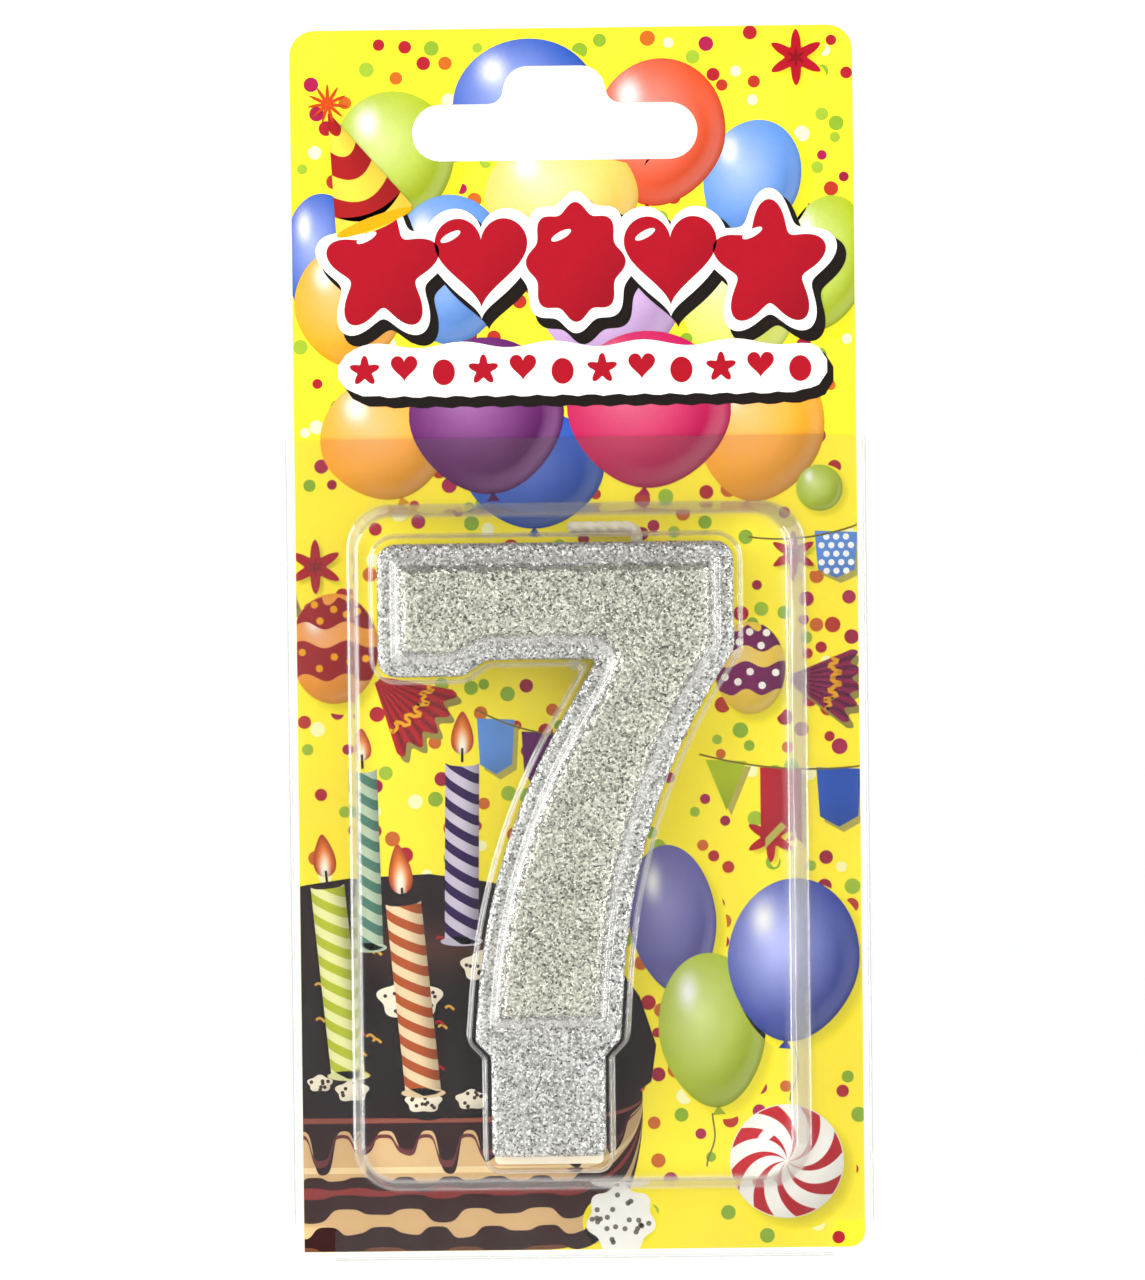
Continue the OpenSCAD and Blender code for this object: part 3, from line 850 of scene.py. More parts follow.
def party_hat(inks):
    """Striped cone with a curved foot and a tuft of rays at its tip."""
    tip, left, right = np.array([-25.4, 2.6]), np.array([-24.6, -11.2]), np.array([-16.0, -8.0])
    across = np.linspace(0, 1, 17)
    sag = 1.1 * np.array([0.35, -1.0]) * (4 * across * (1 - across))[:, None]
    foot = left + (right - left) * across[:, None] + sag
    cuts = [0.0, 0.16, 0.33, 0.52, 0.7, 0.86, 1.0]
    stripes = linear((168, 28, 30)), linear((250, 214, 70))
    light = 1.0 - 0.5 * np.clip(across - 0.35, 0, 1) ** 1.2 - 0.25 * np.clip(0.2 - across, 0, 1)
    light = light[None, :, None]
    for k in range(6):
        t = np.array([max(cuts[k], 0.02), cuts[k + 1]])
        bowed = t[:, None] + 0.05 * np.sin(across * math.pi)[None] * (k < 5) * (t[:, None] > 0.02)
        rows = tip + (foot - tip)[None] * bowed[..., None]
        inks.patch(rows[..., 0], rows[..., 1], stripes[k % 2] * light, wrap=False, above=1)
    inks.fan(ellipse(-20.3, -9.9, 4.5, 0.7, 36, 20), INKS["gold"], 2, above=2)
    tuft = star(-25.4, 3.4, 2.3, 11, 0.72, 132, power=0.6)
    inks.fan(tuft, lambda u, v, t: INKS["orange"] * (1.1 - 0.5 * t[..., None]), 4, above=3)


def banded_sweet(inks, cx, cz, rx, rz, main, second, dot):
    """A sweet's body with two wavy bands, each with a row of dots."""
    inks.fan(ellipse(cx + 0.8, cz - 0.9, rx * 1.05, rz * 1.05), shadow_tone(YELLOW, 0.6), 6)
    inks.fan(ellipse(cx, cz, rx, rz, 48), toned(second, 0.4, 0.5), 7, above=4)
    u, v = np.linspace(-1, 1, 30)[None], np.linspace(0, 1, 7)[:, None]
    shade = 1 - 0.45 * np.clip(u - 0.1, 0, 1) + 0.12 * np.clip(-u, 0, 1)
    shade = (shade + 0 * v)[..., None]
    for low, high in ((-0.52, 0.08), (0.42, 0.86)):
        edge = low + (high - low) * v + 0.07 * np.sin(u * 6 + cx)
        wide = np.sqrt(np.clip(1 - edge**2, 0, 1)) * 0.985
        inks.patch(cx + rx * u * wide, cz + rz * edge, main * shade, wrap=False, above=5)
        for k, q in enumerate(np.linspace(-0.72, 0.72, 5)):
            h = (low + high) / 2 + 0.09 * (-1) ** k + 0.07 * math.sin(q * 6 + cx)
            inks.disc(cx + rx * q * math.sqrt(1 - h * h), cz + rz * h, 0.42, dot, above=6)


def pleated_wrap(inks, cx, cz, aim, wide, reach, light, dark):
    """A wrapper's fanned end: pleats that spread from the twist, with a zigzag line."""
    a = np.radians(np.linspace(aim - wide / 2, aim + wide / 2, 41))
    rim = reach * (1 + 0.07 * np.sin(np.linspace(0, 9 * math.pi, 41)))
    t = np.linspace(0.1, 1, 6)[:, None]
    x, z = t * rim * np.cos(a), t * rim * np.sin(a)
    pleat = 0.5 + 0.5 * np.sin(np.linspace(0, 15 * math.pi, 41))
    pleat = pleat[None, :, None] * np.ones((6, 1, 1))
    inks.patch(cx + 0.5 + x, cz - 0.7 + z, np.array([0.3, 0.26, 0.05]), wrap=False, above=1)
    inks.patch(cx + x, cz + z, dark + (light - dark) * pleat, wrap=False, above=2)
    tooth = 0.7 * rim * (1 + 0.05 * np.sign(np.sin(np.arange(41) * 1.6)))
    zigzag = np.stack([cx + tooth * np.cos(a), cz + 0.7 * rim * np.sin(a)], 1)
    inks.strip(zigzag, 0.2, INKS["gold"], above=3)


def swirled_mint(inks, cx, cz, r):
    """A round mint with eight curved red stripes and a glint."""

    def candy(u, v, t):
        return INKS["white"] * (1 - 0.22 * np.clip(u - v - 0.5, 0, 1) - 0.12 * t**4)[..., None]

    inks.fan(ellipse(cx + 0.9, cz - 0.9, r * 1.08, r * 1.08), shadow_tone(YELLOW, 0.7), 6)
    inks.fan(ellipse(cx, cz, r, r, 60), candy, 7, above=1)
    share = np.linspace(0.03, 0.985, 14)[:, None]
    for k in range(8):
        a = math.radians(45 * k) + 1.15 * share + np.linspace(-0.2, 0.2, 7) * (0.35 + 0.65 * share)
        red = linear((198, 24, 40)) * (1 - 0.3 * np.clip(np.cos(a + 0.8) * share, 0, 1))[..., None]
        inks.patch(cx + r * share * np.cos(a), cz + r * share * np.sin(a), red, wrap=False, above=2)
    inks.fan(ellipse(cx - 2.1, cz + 3.1, 1.5, 0.6, 24, 40), INKS["white"], 2, above=3)


def dotted_patch(inks, cx, cz):
    """A scalloped white patch with grey dots strewn by a seeded draw."""
    draw = np.random.default_rng(4)
    inks.fan(ellipse(cx, cz - 0.3, 4.3, 3.4), shadow_tone(YELLOW, 0.35), 4)
    inks.fan(star(cx, cz, 4.0, 7, 0.16, 70), INKS["white"] * 0.95, 3, above=1)
    for _ in range(22):
        a, q = draw.uniform(0, 2 * math.pi), 3.3 * math.sqrt(draw.uniform(0, 1))
        grey = linear((120, 116, 104))
        inks.disc(cx + q * math.cos(a), cz + 0.85 * q * math.sin(a), 0.3, grey, above=2, n=12)


def flag_foot(kind, half, drop):
    """The lower corners of a flag, from its right to its left: round, pointed or forked."""
    return {
        "round": [[half * 0.86, -drop * 0.82], [0, -drop], [-half * 0.86, -drop * 0.82]],
        "point": [[0, -drop]],
        "fork": [[half, -drop], [0, -drop * 0.72], [-half, -drop]],
    }[kind]


def bunting(inks, start, end, sag, flags):
    """A sagging string with its flags, each given by its place along X, its kind, half
    width, drop, ink, and whether it is spotted."""
    t = np.linspace(0, 1, 24)
    x = start[0] + (end[0] - start[0]) * t
    z = start[1] + (end[1] - start[1]) * t - 4 * sag * t * (1 - t)
    inks.strip(np.stack([x, z], 1), 0.1, linear((120, 104, 30)), above=3)
    for fx, kind, half, drop, ink, spotted in flags:
        top = np.interp(fx, x, z)
        foot = [[fx + dx, top + dz] for dx, dz in flag_foot(kind, half, drop)[::-1]]
        flag = polygon([[fx + half, top - 0.1], [fx - half, top + 0.1]] + foot, 6)

        def cloth(u, v, t, ink=ink):
            return INKS[ink] * (1 - 0.3 * np.clip(-v, 0, 1) + 0.12 * np.clip(-u, 0, 1))[..., None]

        inks.fan(flag + [0.5, -0.6], np.array([0.45, 0.4, 0.08]), 2, above=1)
        inks.fan(flag, cloth, 4, above=2)
        spots = [(i + 0.5 * (j % 2), 0.87 * j) for i in range(-2, 3) for j in range(-2, 3)]
        for dx, dz in [p for p in spots if spotted and abs(p[0]) < 1.8]:
            inks.disc(fx + 1.1 * dx, top - 2.5 + 1.1 * dz, 0.36, INKS["white"], above=3, n=12)


def party_sweets(inks):
    """Two wrapped sweets, the swirled mint, bunting on its strings and the dotted patch."""
    plum, butter = linear((120, 24, 90)), linear((240, 200, 60))
    ruby, amber = linear((158, 22, 30)), linear((240, 156, 34))
    banded_sweet(inks, -25.4, -57.6, 5.0, 6.2, ruby, amber, INKS["gold"])
    banded_sweet(inks, 21.2, -60.3, 4.0, 5.2, plum, butter, INKS["white"] * 0.93)
    red = linear((186, 26, 34)), linear((118, 14, 24))
    pleated_wrap(inks, -21.2, -60.6, 318, 62, 9.2, *red)
    pleated_wrap(inks, 25.0, -61.4, -8, 60, 8.2, linear((150, 26, 78)), linear((84, 12, 54)))
    pleated_wrap(inks, -29.2, -53.5, 140, 60, 5.0, *red)
    swirled_mint(inks, 24.7, -115.7, 6.4)
    dotted_patch(inks, 6.0, -122.0)
    bunting(inks, (21.2, -45.6), (33.6, -44.3), 0.8, [(31.0, "round", 2.4, 5.2, "sky", True)])
    pair = [(-7.4, "round", 2.1, 6.2, "sky", False), (-2.6, "round", 1.9, 6.0, "purple", False)]
    bunting(inks, (-9.6, -64.6), (0.2, -67.6), 0.6, pair)
    trio = [
        (18.4, "point", 2.3, 5.6, "lime", False),
        (24.5, "fork", 2.3, 8.4, "red", False),
        (31.0, "round", 2.5, 6.6, "blue", False),
    ]
    bunting(inks, (15.4, -69.9), (33.6, -71.4), 0.9, trio)


def wavy(x, height, swing, pitch, phase=0.0):
    """A level line with rounded drips that hang from it, longer and shorter by turns."""
    drip = 0.5 + 0.52 * np.tanh(1.9 * np.sin(2 * math.pi * x / pitch + phase))
    return height - swing * drip * (0.7 + 0.3 * np.sin(x * 0.41 + phase))


def cream_lump(inks, draw, cx, cz, rx, rz):
    """A lump of cream on the glaze with its shadow and dark crumbs."""
    inks.fan(ellipse(cx + 0.5, cz - 0.6, rx * 1.1, rz * 1.15, 36), INKS["cocoa"] * 0.4, 2, above=6)
    lump = (star(cx, cz, 1.0, 5, 0.2, 50) - [cx, cz]) * [rx, rz] + [cx, cz]
    inks.fan(lump, side_lit(linear((250, 240, 214)), 0.28), 5, above=7)
    for _ in range(int(rx * 5)):
        a, q = draw.uniform(0, 2 * math.pi), 0.75 * math.sqrt(draw.uniform(0, 1))
        x, z = cx + rx * q * math.cos(a), cz + rz * q * math.sin(a)
        inks.disc(x, z, 0.22, linear((70, 44, 40)), above=8, n=10)


def cake_layers(inks):
    """Sponge, fillings and glaze as bands between wavy lines, drawn in at the right end."""
    x = np.linspace(CARD_LEFT, 8.6, 200)
    end = np.sqrt(np.clip(1 - np.clip((x + 6.0) / 14.7, 0, 1) ** 4, 0, 1))
    light = (1 - 0.45 * np.clip((x + 2) / 14, 0, 1))[None, :, None]
    middle, flat = -108.0, np.zeros_like(x)

    def layer(low, high, colour, level):
        rows = np.stack([middle + (low - middle) * end, middle + (high - middle) * end])
        inks.patch(np.stack([x, x]), rows, np.asarray(colour) * light, wrap=False, above=level)

    layer(flat - 125.4, flat - 108, INKS["biscuit"], 1)
    layer(flat - 125.4, -124.2 + 0.35 * np.sin(x), linear((120, 70, 40)), 2)
    layer(wavy(x, -120.6, 1.6, 7.3, 1.0), wavy(x, -117.0, 0.9, 5.1, 2.0), linear((56, 20, 18)), 2)
    layer(wavy(x, -119.0, 0.5, 7.3, 1.0), wavy(x, -118.2, 0.5, 5.1, 2.2), linear((150, 52, 48)), 3)
    layer(flat - 116.6, flat - 115.9, linear((250, 222, 170)), 3)
    layer(wavy(x, -111.8, 5.0, 4.7, 0.4), flat - 106.5, linear((46, 14, 16)), 4)
    layer(flat - 110.95, flat - 110.35, linear((150, 78, 62)), 5)
    layer(wavy(x, -112.6, 3.4, 4.7, 0.7), wavy(x, -112.2, 3.0, 4.7, 0.7), linear((112, 50, 54)), 5)
    layer(wavy(x, -124.9, 1.2, 9.2, 0.0), wavy(x, -122.6, 1.4, 6.2, 0.7), linear((52, 18, 18)), 3)


def party_cake(inks):
    """The glazed cake from its top down, with cream, crumbs and four candles on it."""
    cake_layers(inks)
    glaze = [
        [-31, -84.4], [-24, -83.4], [-15, -83.0], [-8, -84.0], [-1, -87.0], [4.5, -91.5], [8.4, -97.0],
        [10.2, -102.5], [9.6, -106.6], [6.0, -109.2], [-2, -110.2], [-12, -110.5], [-31, -110.3],
    ]

    def chocolate(u, v, t):
        sheen = np.exp(-(((u + 0.15) / 0.5) ** 2 + ((v - 0.45) / 0.16) ** 2))[..., None]
        ridge = np.clip((t - 0.82) / 0.18, 0, 1)[..., None]
        cocoa = INKS["cocoa"]
        return cocoa * (0.6 + 0.5 * ridge) + (linear((120, 70, 52)) - cocoa) * 0.35 * sheen

    inks.fan(polygon(glaze[::-1], 7), chocolate, 12, (-9, -98), above=5)
    draw = np.random.default_rng(12)
    for lump in (
        (-17.4, -97.0, 3.9, 2.4), (-24.0, -107.3, 2.0, 1.3), (-16.0, -108.6, 2.2, 1.3),
        (-10.6, -108.4, 1.9, 1.2), (-27.6, -106.4, 1.5, 1.0), (-9.2, -93.4, 2.6, 1.8),
    ):
        cream_lump(inks, draw, *lump)
    for _ in range(16):
        px, pz = draw.uniform(-28.5, -3), draw.uniform(-105.5, -90)
        x = px + 0.5 * np.linspace(-1, 1, 6)
        curl = np.stack([x, pz + 0.25 * np.sin(np.linspace(0, 4, 6))], 1)
        golden = draw.uniform() > 0.4
        inks.strip(curl, 0.14, linear((224, 170, 60)) if golden else INKS["red"], above=7)
    for foot, top, half, ink, ground, flame in (
        ((-21.9, -91.2), (-22.4, -71.2), 1.6, (84, 136, 118), (200, 220, 190), 3.6),
        ((-11.5, -90.6), (-11.2, -70.6), 1.9, (46, 16, 84), (214, 206, 226), 4.8),
        ((-24.4, -105.6), (-26.5, -84.2), 1.9, (196, 206, 48), (250, 250, 180), 4.8),
        ((-16.0, -107.6), (-18.0, -86.2), 2.0, (188, 84, 30), (250, 222, 176), 5.6),
    ):
        spiral_candle(inks, foot, top, half, linear(ink), linear(ground), flame, above=8)


# ------------------------------------------------------------- the blister


def tray_rings(skin):
    """The tray's wall from the flange to its front, moved inwards by skin: a small
    fillet, the drafted wall, then its rounded front edge. Fillet and edge are quarter
    circles whose centres stay put, so the sheet is equally thick round them."""
    deep, front = FLANGE_OUT + skin, TRAY_OUT + skin
    fillet, edge, drafted = 0.4, 0.6, TRAY_DEPTH - 1.0
    inner, outer = fillet + skin, edge - skin
    rings = [ring(tray_path(0), grow, deep) for grow in (fillet + 0.05, fillet)]
    for a in quarter(5)[1:]:
        path = tray_path(0.1 * math.sin(a))
        rings.append(ring(path, fillet - inner * math.sin(a), deep - inner * (1 - math.cos(a))))
    for s in np.linspace(0.2, 0.8, 5):
        rings.append(ring(tray_path(s), -skin, FLANGE_OUT - fillet - drafted * (s - 0.1) / 0.7))
    for a in quarter(6)[1:]:
        path = tray_path(0.8 + 0.2 * math.sin(a))
        rings.append(ring(path, -skin - outer * (1 - math.cos(a)), front + outer * (1 - math.sin(a))))
    rings.append(ring(tray_path(1), -edge - 0.05, front))
    return rings


def bubble_rings(skin, lift=0.15):
    """The bubble's wall round the whole numeral, moved inwards by skin, and the slope
    up to its raised panel round the head."""
    whole, head = numeral_path(), head_path()
    base, front = TRAY_OUT + skin, BUBBLE_OUT + skin
    fillet, edge, foot = 0.3, 0.55, 1.27
    inner, outer, rise = fillet + skin, edge - skin, NUM_RIM - 0.15 - TRAY_OUT + fillet
    wall = [ring(whole, grow, base, lift) for grow in (foot + 0.03, foot)]
    for a in quarter(5)[1:]:
        wall.append(ring(whole, foot - inner * math.sin(a), base - inner * (1 - math.cos(a)), lift))
    for s in np.linspace(0.25, 1, 4):
        wall.append(ring(whole, foot - fillet - 0.12 * s - skin, TRAY_OUT - fillet + s * rise, lift))
    for a in quarter(6)[1:]:
        grow = 0.85 - skin - outer * (1 - math.cos(a))
        wall.append(ring(whole, grow, front + outer * (1 - math.sin(a)), lift))
    wall.append(ring(whole, 0.25, front, lift))
    panel = [ring(head, -1.1, front, lift)]
    for t, up in soft_step():
        grow = -1.2 - 1.25 * t - 0.7 * skin * math.sin(math.pi * t)
        panel.append(ring(head, grow, front - PANEL_RISE * up, lift))
    panel.append(ring(head, -2.55, front - PANEL_RISE, lift))
    return wall, panel


def fold_profile(skin):
    """Half ring round the card's edge and the lip behind it: x outwards from the
    card's edge, y depth."""
    a = np.linspace(-math.pi / 2, math.pi / 2, 17)
    r = FOLD_R - skin
    bend = np.stack([FOLD_OUT + r * np.cos(a), FOLD_Y + r * np.sin(a)], 1)
    lip = np.linspace(FOLD_OUT, -LIP_W + 0.15, 6)[1:]
    return np.concatenate([bend, np.stack([lip, np.full(5, FOLD_Y + r)], 1)])


def make_blister(look):
    """The whole sheet as a closed shell: its outer surface, the same surface moved
    inwards by the sheet's thickness and turned round, and the cut edges between them."""
    form = Form()
    left, right, foot = CARD_LEFT, CARD_RIGHT, CARD_FOOT
    notch, thick = foot + NOTCH_H, look.thickness
    far = FOLD_OUT
    right_half = [
        [right - NOTCH_W, foot - far], [right - NOTCH_W, notch],
        [right + far, notch], [right + far, FLANGE_TOP],
    ]
    left_half = [[left + right - x, z] for x, z in right_half[::-1]]
    rim = np.array(right_half + left_half)
    for skin in (0.0, thick):
        out = skin == 0
        tray = tray_rings(skin)
        wall, panel = bubble_rings(skin)
        flat = [in_plan(r[k]) for r in (tray, wall, panel) for k in (0, -1)]
        form.flat(rim, FLANGE_OUT + skin, [flat[0]], front=out)
        form.flat(flat[1], TRAY_OUT + skin, [flat[2]], front=out)
        form.flat(flat[3], BUBBLE_OUT + skin, [flat[4]], front=out)
        form.flat(flat[5], BUBBLE_OUT - PANEL_RISE + skin, front=out)
        for rings in (tray, wall, panel):
            form.grid(np.stack(rings if out else rings[::-1]))
    for k in (0, 1, 3, 5, 6):
        cut = rim[[(k + 1) % len(rim), k]]
        form.grid(np.stack([at_depth(cut, FLANGE_OUT), at_depth(cut, FLANGE_OUT + thick)]), wrap=False)
    tube = np.concatenate([fold_profile(0), fold_profile(thick)[::-1]])
    ends = len(fold_profile(0))

    def fold(place, low, high, mirrored):
        """Outer and inner skin of one fold between two stations, its lip's end and both cut ends."""
        rows = np.stack([place(tube, low), place(tube, high)])
        if mirrored:
            rows = rows[::-1]
        form.grid(rows, wrap=False)
        for at, flip in ((low, mirrored), (high, not mirrored)):
            p = place(tube, at)
            cap = np.stack([p[:ends], p[ends:][::-1]])
            form.grid(cap[::-1] if flip else cap, wrap=False)

    def upright(side, edge):
        return lambda t, h: np.stack([edge + side * t[:, 0], t[:, 1], np.full(len(t), h)], 1)

    def level(t, h):
        return np.stack([np.full(len(t), h), t[:, 1], foot - t[:, 0]], 1)

    fold(upright(-1, left), notch, FLANGE_TOP, True)
    fold(upright(1, right), notch, FLANGE_TOP, False)
    fold(level, left + NOTCH_W, right - NOTCH_W, False)
    piece = form.build("blister_sheet", "blister", merge=1e-6, sharp=50, recalc=True)
    piece.data.materials.append(sheet_material(look))
    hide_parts("blister")
    return piece


# ------------------------------------------------------------- the glitter


# Radius of the coat's rounded front edge, and thickness of a loose flake
EDGE_R, FLAKE_T = 0.7, 0.03


def coat_rings(foot_z):
    """The coat's outer skin: the wall with its rounded front edge, and the soft slope
    up to the raised panel."""
    whole, head = numeral_path(foot_z), head_path()
    wall = [ring(whole, -COAT_T, NUM_BACK), ring(whole, -0.06, NUM_BACK), ring(whole, 0, NUM_BACK - 0.12)]
    for s in np.linspace(0.15, 1, 8):
        wall.append(ring(whole, 0, NUM_BACK + s * (NUM_RIM + EDGE_R - NUM_BACK)))
    for a in quarter(6)[1:]:
        wall.append(ring(whole, -EDGE_R * (1 - math.cos(a)), NUM_RIM + EDGE_R * (1 - math.sin(a))))
    wall.append(ring(whole, -EDGE_R - 0.05, NUM_RIM))
    panel = [ring(head, -2.1, NUM_RIM)]
    for t, up in soft_step():
        panel.append(ring(head, -2.15 - 1.1 * t, NUM_RIM - PANEL_RISE * up))
    panel.append(ring(head, -3.35, NUM_FRONT))
    return wall, panel


def make_coat(look):
    """The coat as a closed shell: its outer skin, and an inner one against the wax."""
    form = Form()
    foot_z = NUM_Z + look.bare_foot
    wall, panel = coat_rings(foot_z)
    form.grid(np.stack(wall))
    form.flat(in_plan(wall[-1]), NUM_RIM, [in_plan(panel[0])])
    form.grid(np.stack(panel))
    form.flat(in_plan(panel[-1]), NUM_FRONT)
    under_rim, under_panel = NUM_RIM + COAT_T, NUM_FRONT + COAT_T
    inner = [ring(numeral_path(foot_z), -COAT_T, y) for y in (under_rim, NUM_BACK)]
    step = [ring(head_path(), -2.4, under_rim), ring(head_path(), -3.5, under_panel)]
    form.grid(np.stack(inner))
    form.grid(np.stack(step))
    form.flat(in_plan(inner[0]), under_rim, [in_plan(step[0])], front=False)
    form.flat(in_plan(step[1]), under_panel, front=False)
    piece = form.build("glitter_coat_skin", "candle", merge=1e-6, sharp=50, recalc=True)
    piece.data.materials.append(glitter_material("silver_glitter", look))
    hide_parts("glitter_coat")
    return piece


def flake_places(look, draw):
    """Points and normals on the coat: the flats of rim and panel by rejection, and
    the side walls and rounded edges by a draw along the outline."""
    whole, head = numeral_path(NUM_Z + look.bare_foot), head_path()
    count = look.flakes
    p = draw.uniform([NUM_X, NUM_Z], [NUM_X + NUM_W, NUM_TOP], (count * 3, 2))
    rim = rounded(whole, -0.55)
    p = p[inside(p, rim)][:count]
    up = inside(p, rounded(head, -3.2))
    slope = inside(p, rounded(head, -2.2)) & ~up
    y = np.where(up, NUM_FRONT, NUM_RIM)
    keep = ~slope
    flat = np.stack([p[:, 0], y, p[:, 1]], 1)[keep]
    flat_n = np.tile([0.0, -1.0, 0.0], (len(flat), 1))
    line = rounded(whole, 0)
    nxt = np.roll(line, -1, 0)
    seg = nxt - line
    length = np.hypot(*seg.T)
    pick = draw.choice(len(line), look.flakes // 2, p=length / length.sum())
    s = draw.uniform(0, 1, (len(pick), 1))
    out = np.stack([seg[:, 1], -seg[:, 0]], 1) / np.maximum(length, 1e-9)[:, None]
    a = np.clip(draw.uniform(-2.2, math.pi / 2, len(pick)), 0, None)
    on_wall = draw.uniform(NUM_RIM + EDGE_R, NUM_BACK - 0.4, len(pick))
    deep = np.where(a > 0, NUM_RIM + EDGE_R * (1 - np.sin(a)), on_wall)
    base = line[pick] + seg[pick] * s - out[pick] * (EDGE_R * (1 - np.cos(a)))[:, None]
    side = np.stack([base[:, 0], deep, base[:, 1]], 1)
    side_n = np.stack([out[pick, 0] * np.cos(a), -np.sin(a), out[pick, 1] * np.cos(a)], 1)
    return np.concatenate([flat, side]), np.concatenate([flat_n, side_n])


def make_flakes(look):
    """Loose glitter on the coat: five-cornered flakes, each turned about the surface's
    normal and tipped a little, all corners worked out as one array."""
    draw = np.random.default_rng(21)
    at, normal = flake_places(look, draw)
    n = len(at)
    normal = normal + draw.normal(0, 0.3, (n, 3))
    normal /= np.linalg.norm(normal, axis=1)[:, None]
    any_way = draw.normal(0, 1, (n, 3))
    side = np.cross(normal, any_way)
    side /= np.linalg.norm(side, axis=1)[:, None]
    over = np.cross(normal, side)
    a = np.arange(5) * 2 * math.pi / 5
    r = draw.uniform(0.06, 0.135, (n, 1, 1))
    spoke = np.cos(a)[:, None] * side[:, None] + np.sin(a)[:, None] * over[:, None]
    corners = (at + normal * (FLAKE_T + 0.005))[:, None] + r * spoke
    lower = corners - normal[:, None] * FLAKE_T
    form = Form()
    top = np.arange(n)[:, None] * 10 + np.arange(5)
    under = top + 5
    nxt = np.roll(top, -1, 1)
    walls = np.stack([top, under, np.roll(under, -1, 1), nxt], -1).reshape(-1, 4)
    form.add(np.concatenate([corners, lower], 1), top, under[:, ::-1], walls)
    piece = form.build("glitter_flakes", "candle", merge=1e-9, sharp=20)
    piece.data.materials.append(glitter_material("loose_glitter", look, loose=True))
    return piece


# ---------------------------------------------------------------- the wick


# Place across the numeral, wax behind it, radius of its hole in the wax, radius of the cord
WICK_X, WICK_COVER, WICK_R, CORD_R = 28.9, 0.9, 0.7, 0.66


def wick_path():
    """The wick's centre line: up out of the wax, a quarter turn to the left, a level
    run along the numeral's top, and a tip that turns down."""
    root = np.array([NUM_X + WICK_X, NUM_BACK - WICK_COVER - WICK_R, NUM_TOP])
    r, rise, run = 1.2, 0.5, 6.0
    up = np.stack([np.zeros(14), np.linspace(-6, rise, 14)], 1)
    a = np.linspace(0, math.pi / 2, 12)[1:]
    bend = np.stack([-r + r * np.cos(a), rise + r * np.sin(a)], 1)
    level = np.stack([np.linspace(-r, -r - run, 26)[1:], np.full(25, rise + r)], 1)
    b = np.linspace(0, math.radians(30), 8)[1:]
    tip = np.stack([-r - run - r * np.sin(b), rise + r * np.cos(b)], 1)
    flat = np.concatenate([up, bend, level, tip])
    return np.stack([root[0] + flat[:, 0], np.full(len(flat), root[1]), root[2] + flat[:, 1]], 1)


def make_wick(look):
    """A cord of three strands: about the path, the radius swells over each strand,
    and the strands turn with the length along the path; the tip closes in frayed."""
    path = wick_path()
    step = np.linalg.norm(np.diff(path, axis=0), axis=1)
    along = np.concatenate([[0], np.cumsum(step)])
    fine = np.linspace(0, along[-1], 190)
    path = np.stack([np.interp(fine, along, path[:, k]) for k in range(3)], 1)
    tangent = np.gradient(path, axis=0)
    tangent /= np.linalg.norm(tangent, axis=1)[:, None]
    side = np.tile([0.0, 1.0, 0.0], (len(path), 1))
    out = np.cross(side, tangent)
    a = np.linspace(0, 2 * math.pi, 36, endpoint=False)[None]
    turn = fine[:, None] * look.twist
    strand = np.abs(np.cos(1.5 * (a - turn)))
    left = (fine[-1] - fine)[:, None]
    r = CORD_R * (0.80 + 0.20 * strand**0.7) * (1 + 0.02 * np.sin(fine[:, None] * 5.3 + 2 * a))
    frayed = 1 + 0.16 * np.sin(5 * a + 1) * np.clip(1 - left / 0.9, 0, 1)
    r = r * np.sqrt(np.clip(left / 0.5, 0.0, 1.0)) * frayed
    spoke = np.cos(a)[..., None] * out[:, None] + np.sin(a)[..., None] * side[:, None]
    form = Form()
    form.grid(path[:, None] + r[..., None] * spoke)
    form.faces.append(np.arange(a.size)[None])
    piece = form.build("twisted_wick", "candle", merge=1e-6, sharp=70, recalc=True)
    uv = piece.data.uv_layers.new(name="along")
    loops = np.empty(len(piece.data.loops), int)
    piece.data.loops.foreach_get("vertex_index", loops)
    co = np.empty(len(piece.data.vertices) * 3)
    piece.data.vertices.foreach_get("co", co)
    co = co.reshape(-1, 3) / MM
    near = ((co[:, None] - path[None]) ** 2).sum(2).argmin(1)
    local = co - path[near]
    angle = np.arctan2((local * side[near]).sum(1), (local * out[near]).sum(1)) - fine[near] * look.twist
    pair = np.stack([np.abs((angle / (2 * math.pi)) % 1 - 0.5) * 2, fine[near] / 10], 1)[loops]
    uv.data.foreach_set("uv", pair.astype(np.float32).ravel())
    piece.data.materials.append(cotton_material(look))
    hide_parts("wick")
    return piece


# ------------------------------------------------------------------- stage


def make_floor(look):
    """A wide pale dish turned about Z: flat, then a quarter circle up to a low wall.
    It lies well below the hanging pack, so that the blister has room to slide off."""
    r = np.concatenate([np.linspace(0.0, 1.5, 16), 1.5 + 0.6 * np.sin(quarter(10)[1:]), [2.1, 2.1]])
    z = np.concatenate([np.zeros(16), 0.6 * (1 - np.cos(quarter(10)[1:])), [0.9, 1.2]])
    a = np.linspace(0, 2 * math.pi, 72, endpoint=False)
    level = sheet_low[2] * MM - 0.12
    dish = np.stack([r[:, None] * np.cos(a), r[:, None] * np.sin(a), (z[:, None] + level) + 0 * a], -1)
    form = Form()
    form.grid(dish / MM)
    piece = form.build("studio_floor", None, merge=1e-6, recalc=False)
    piece.data.materials.append(floor_material(look))
    return piece


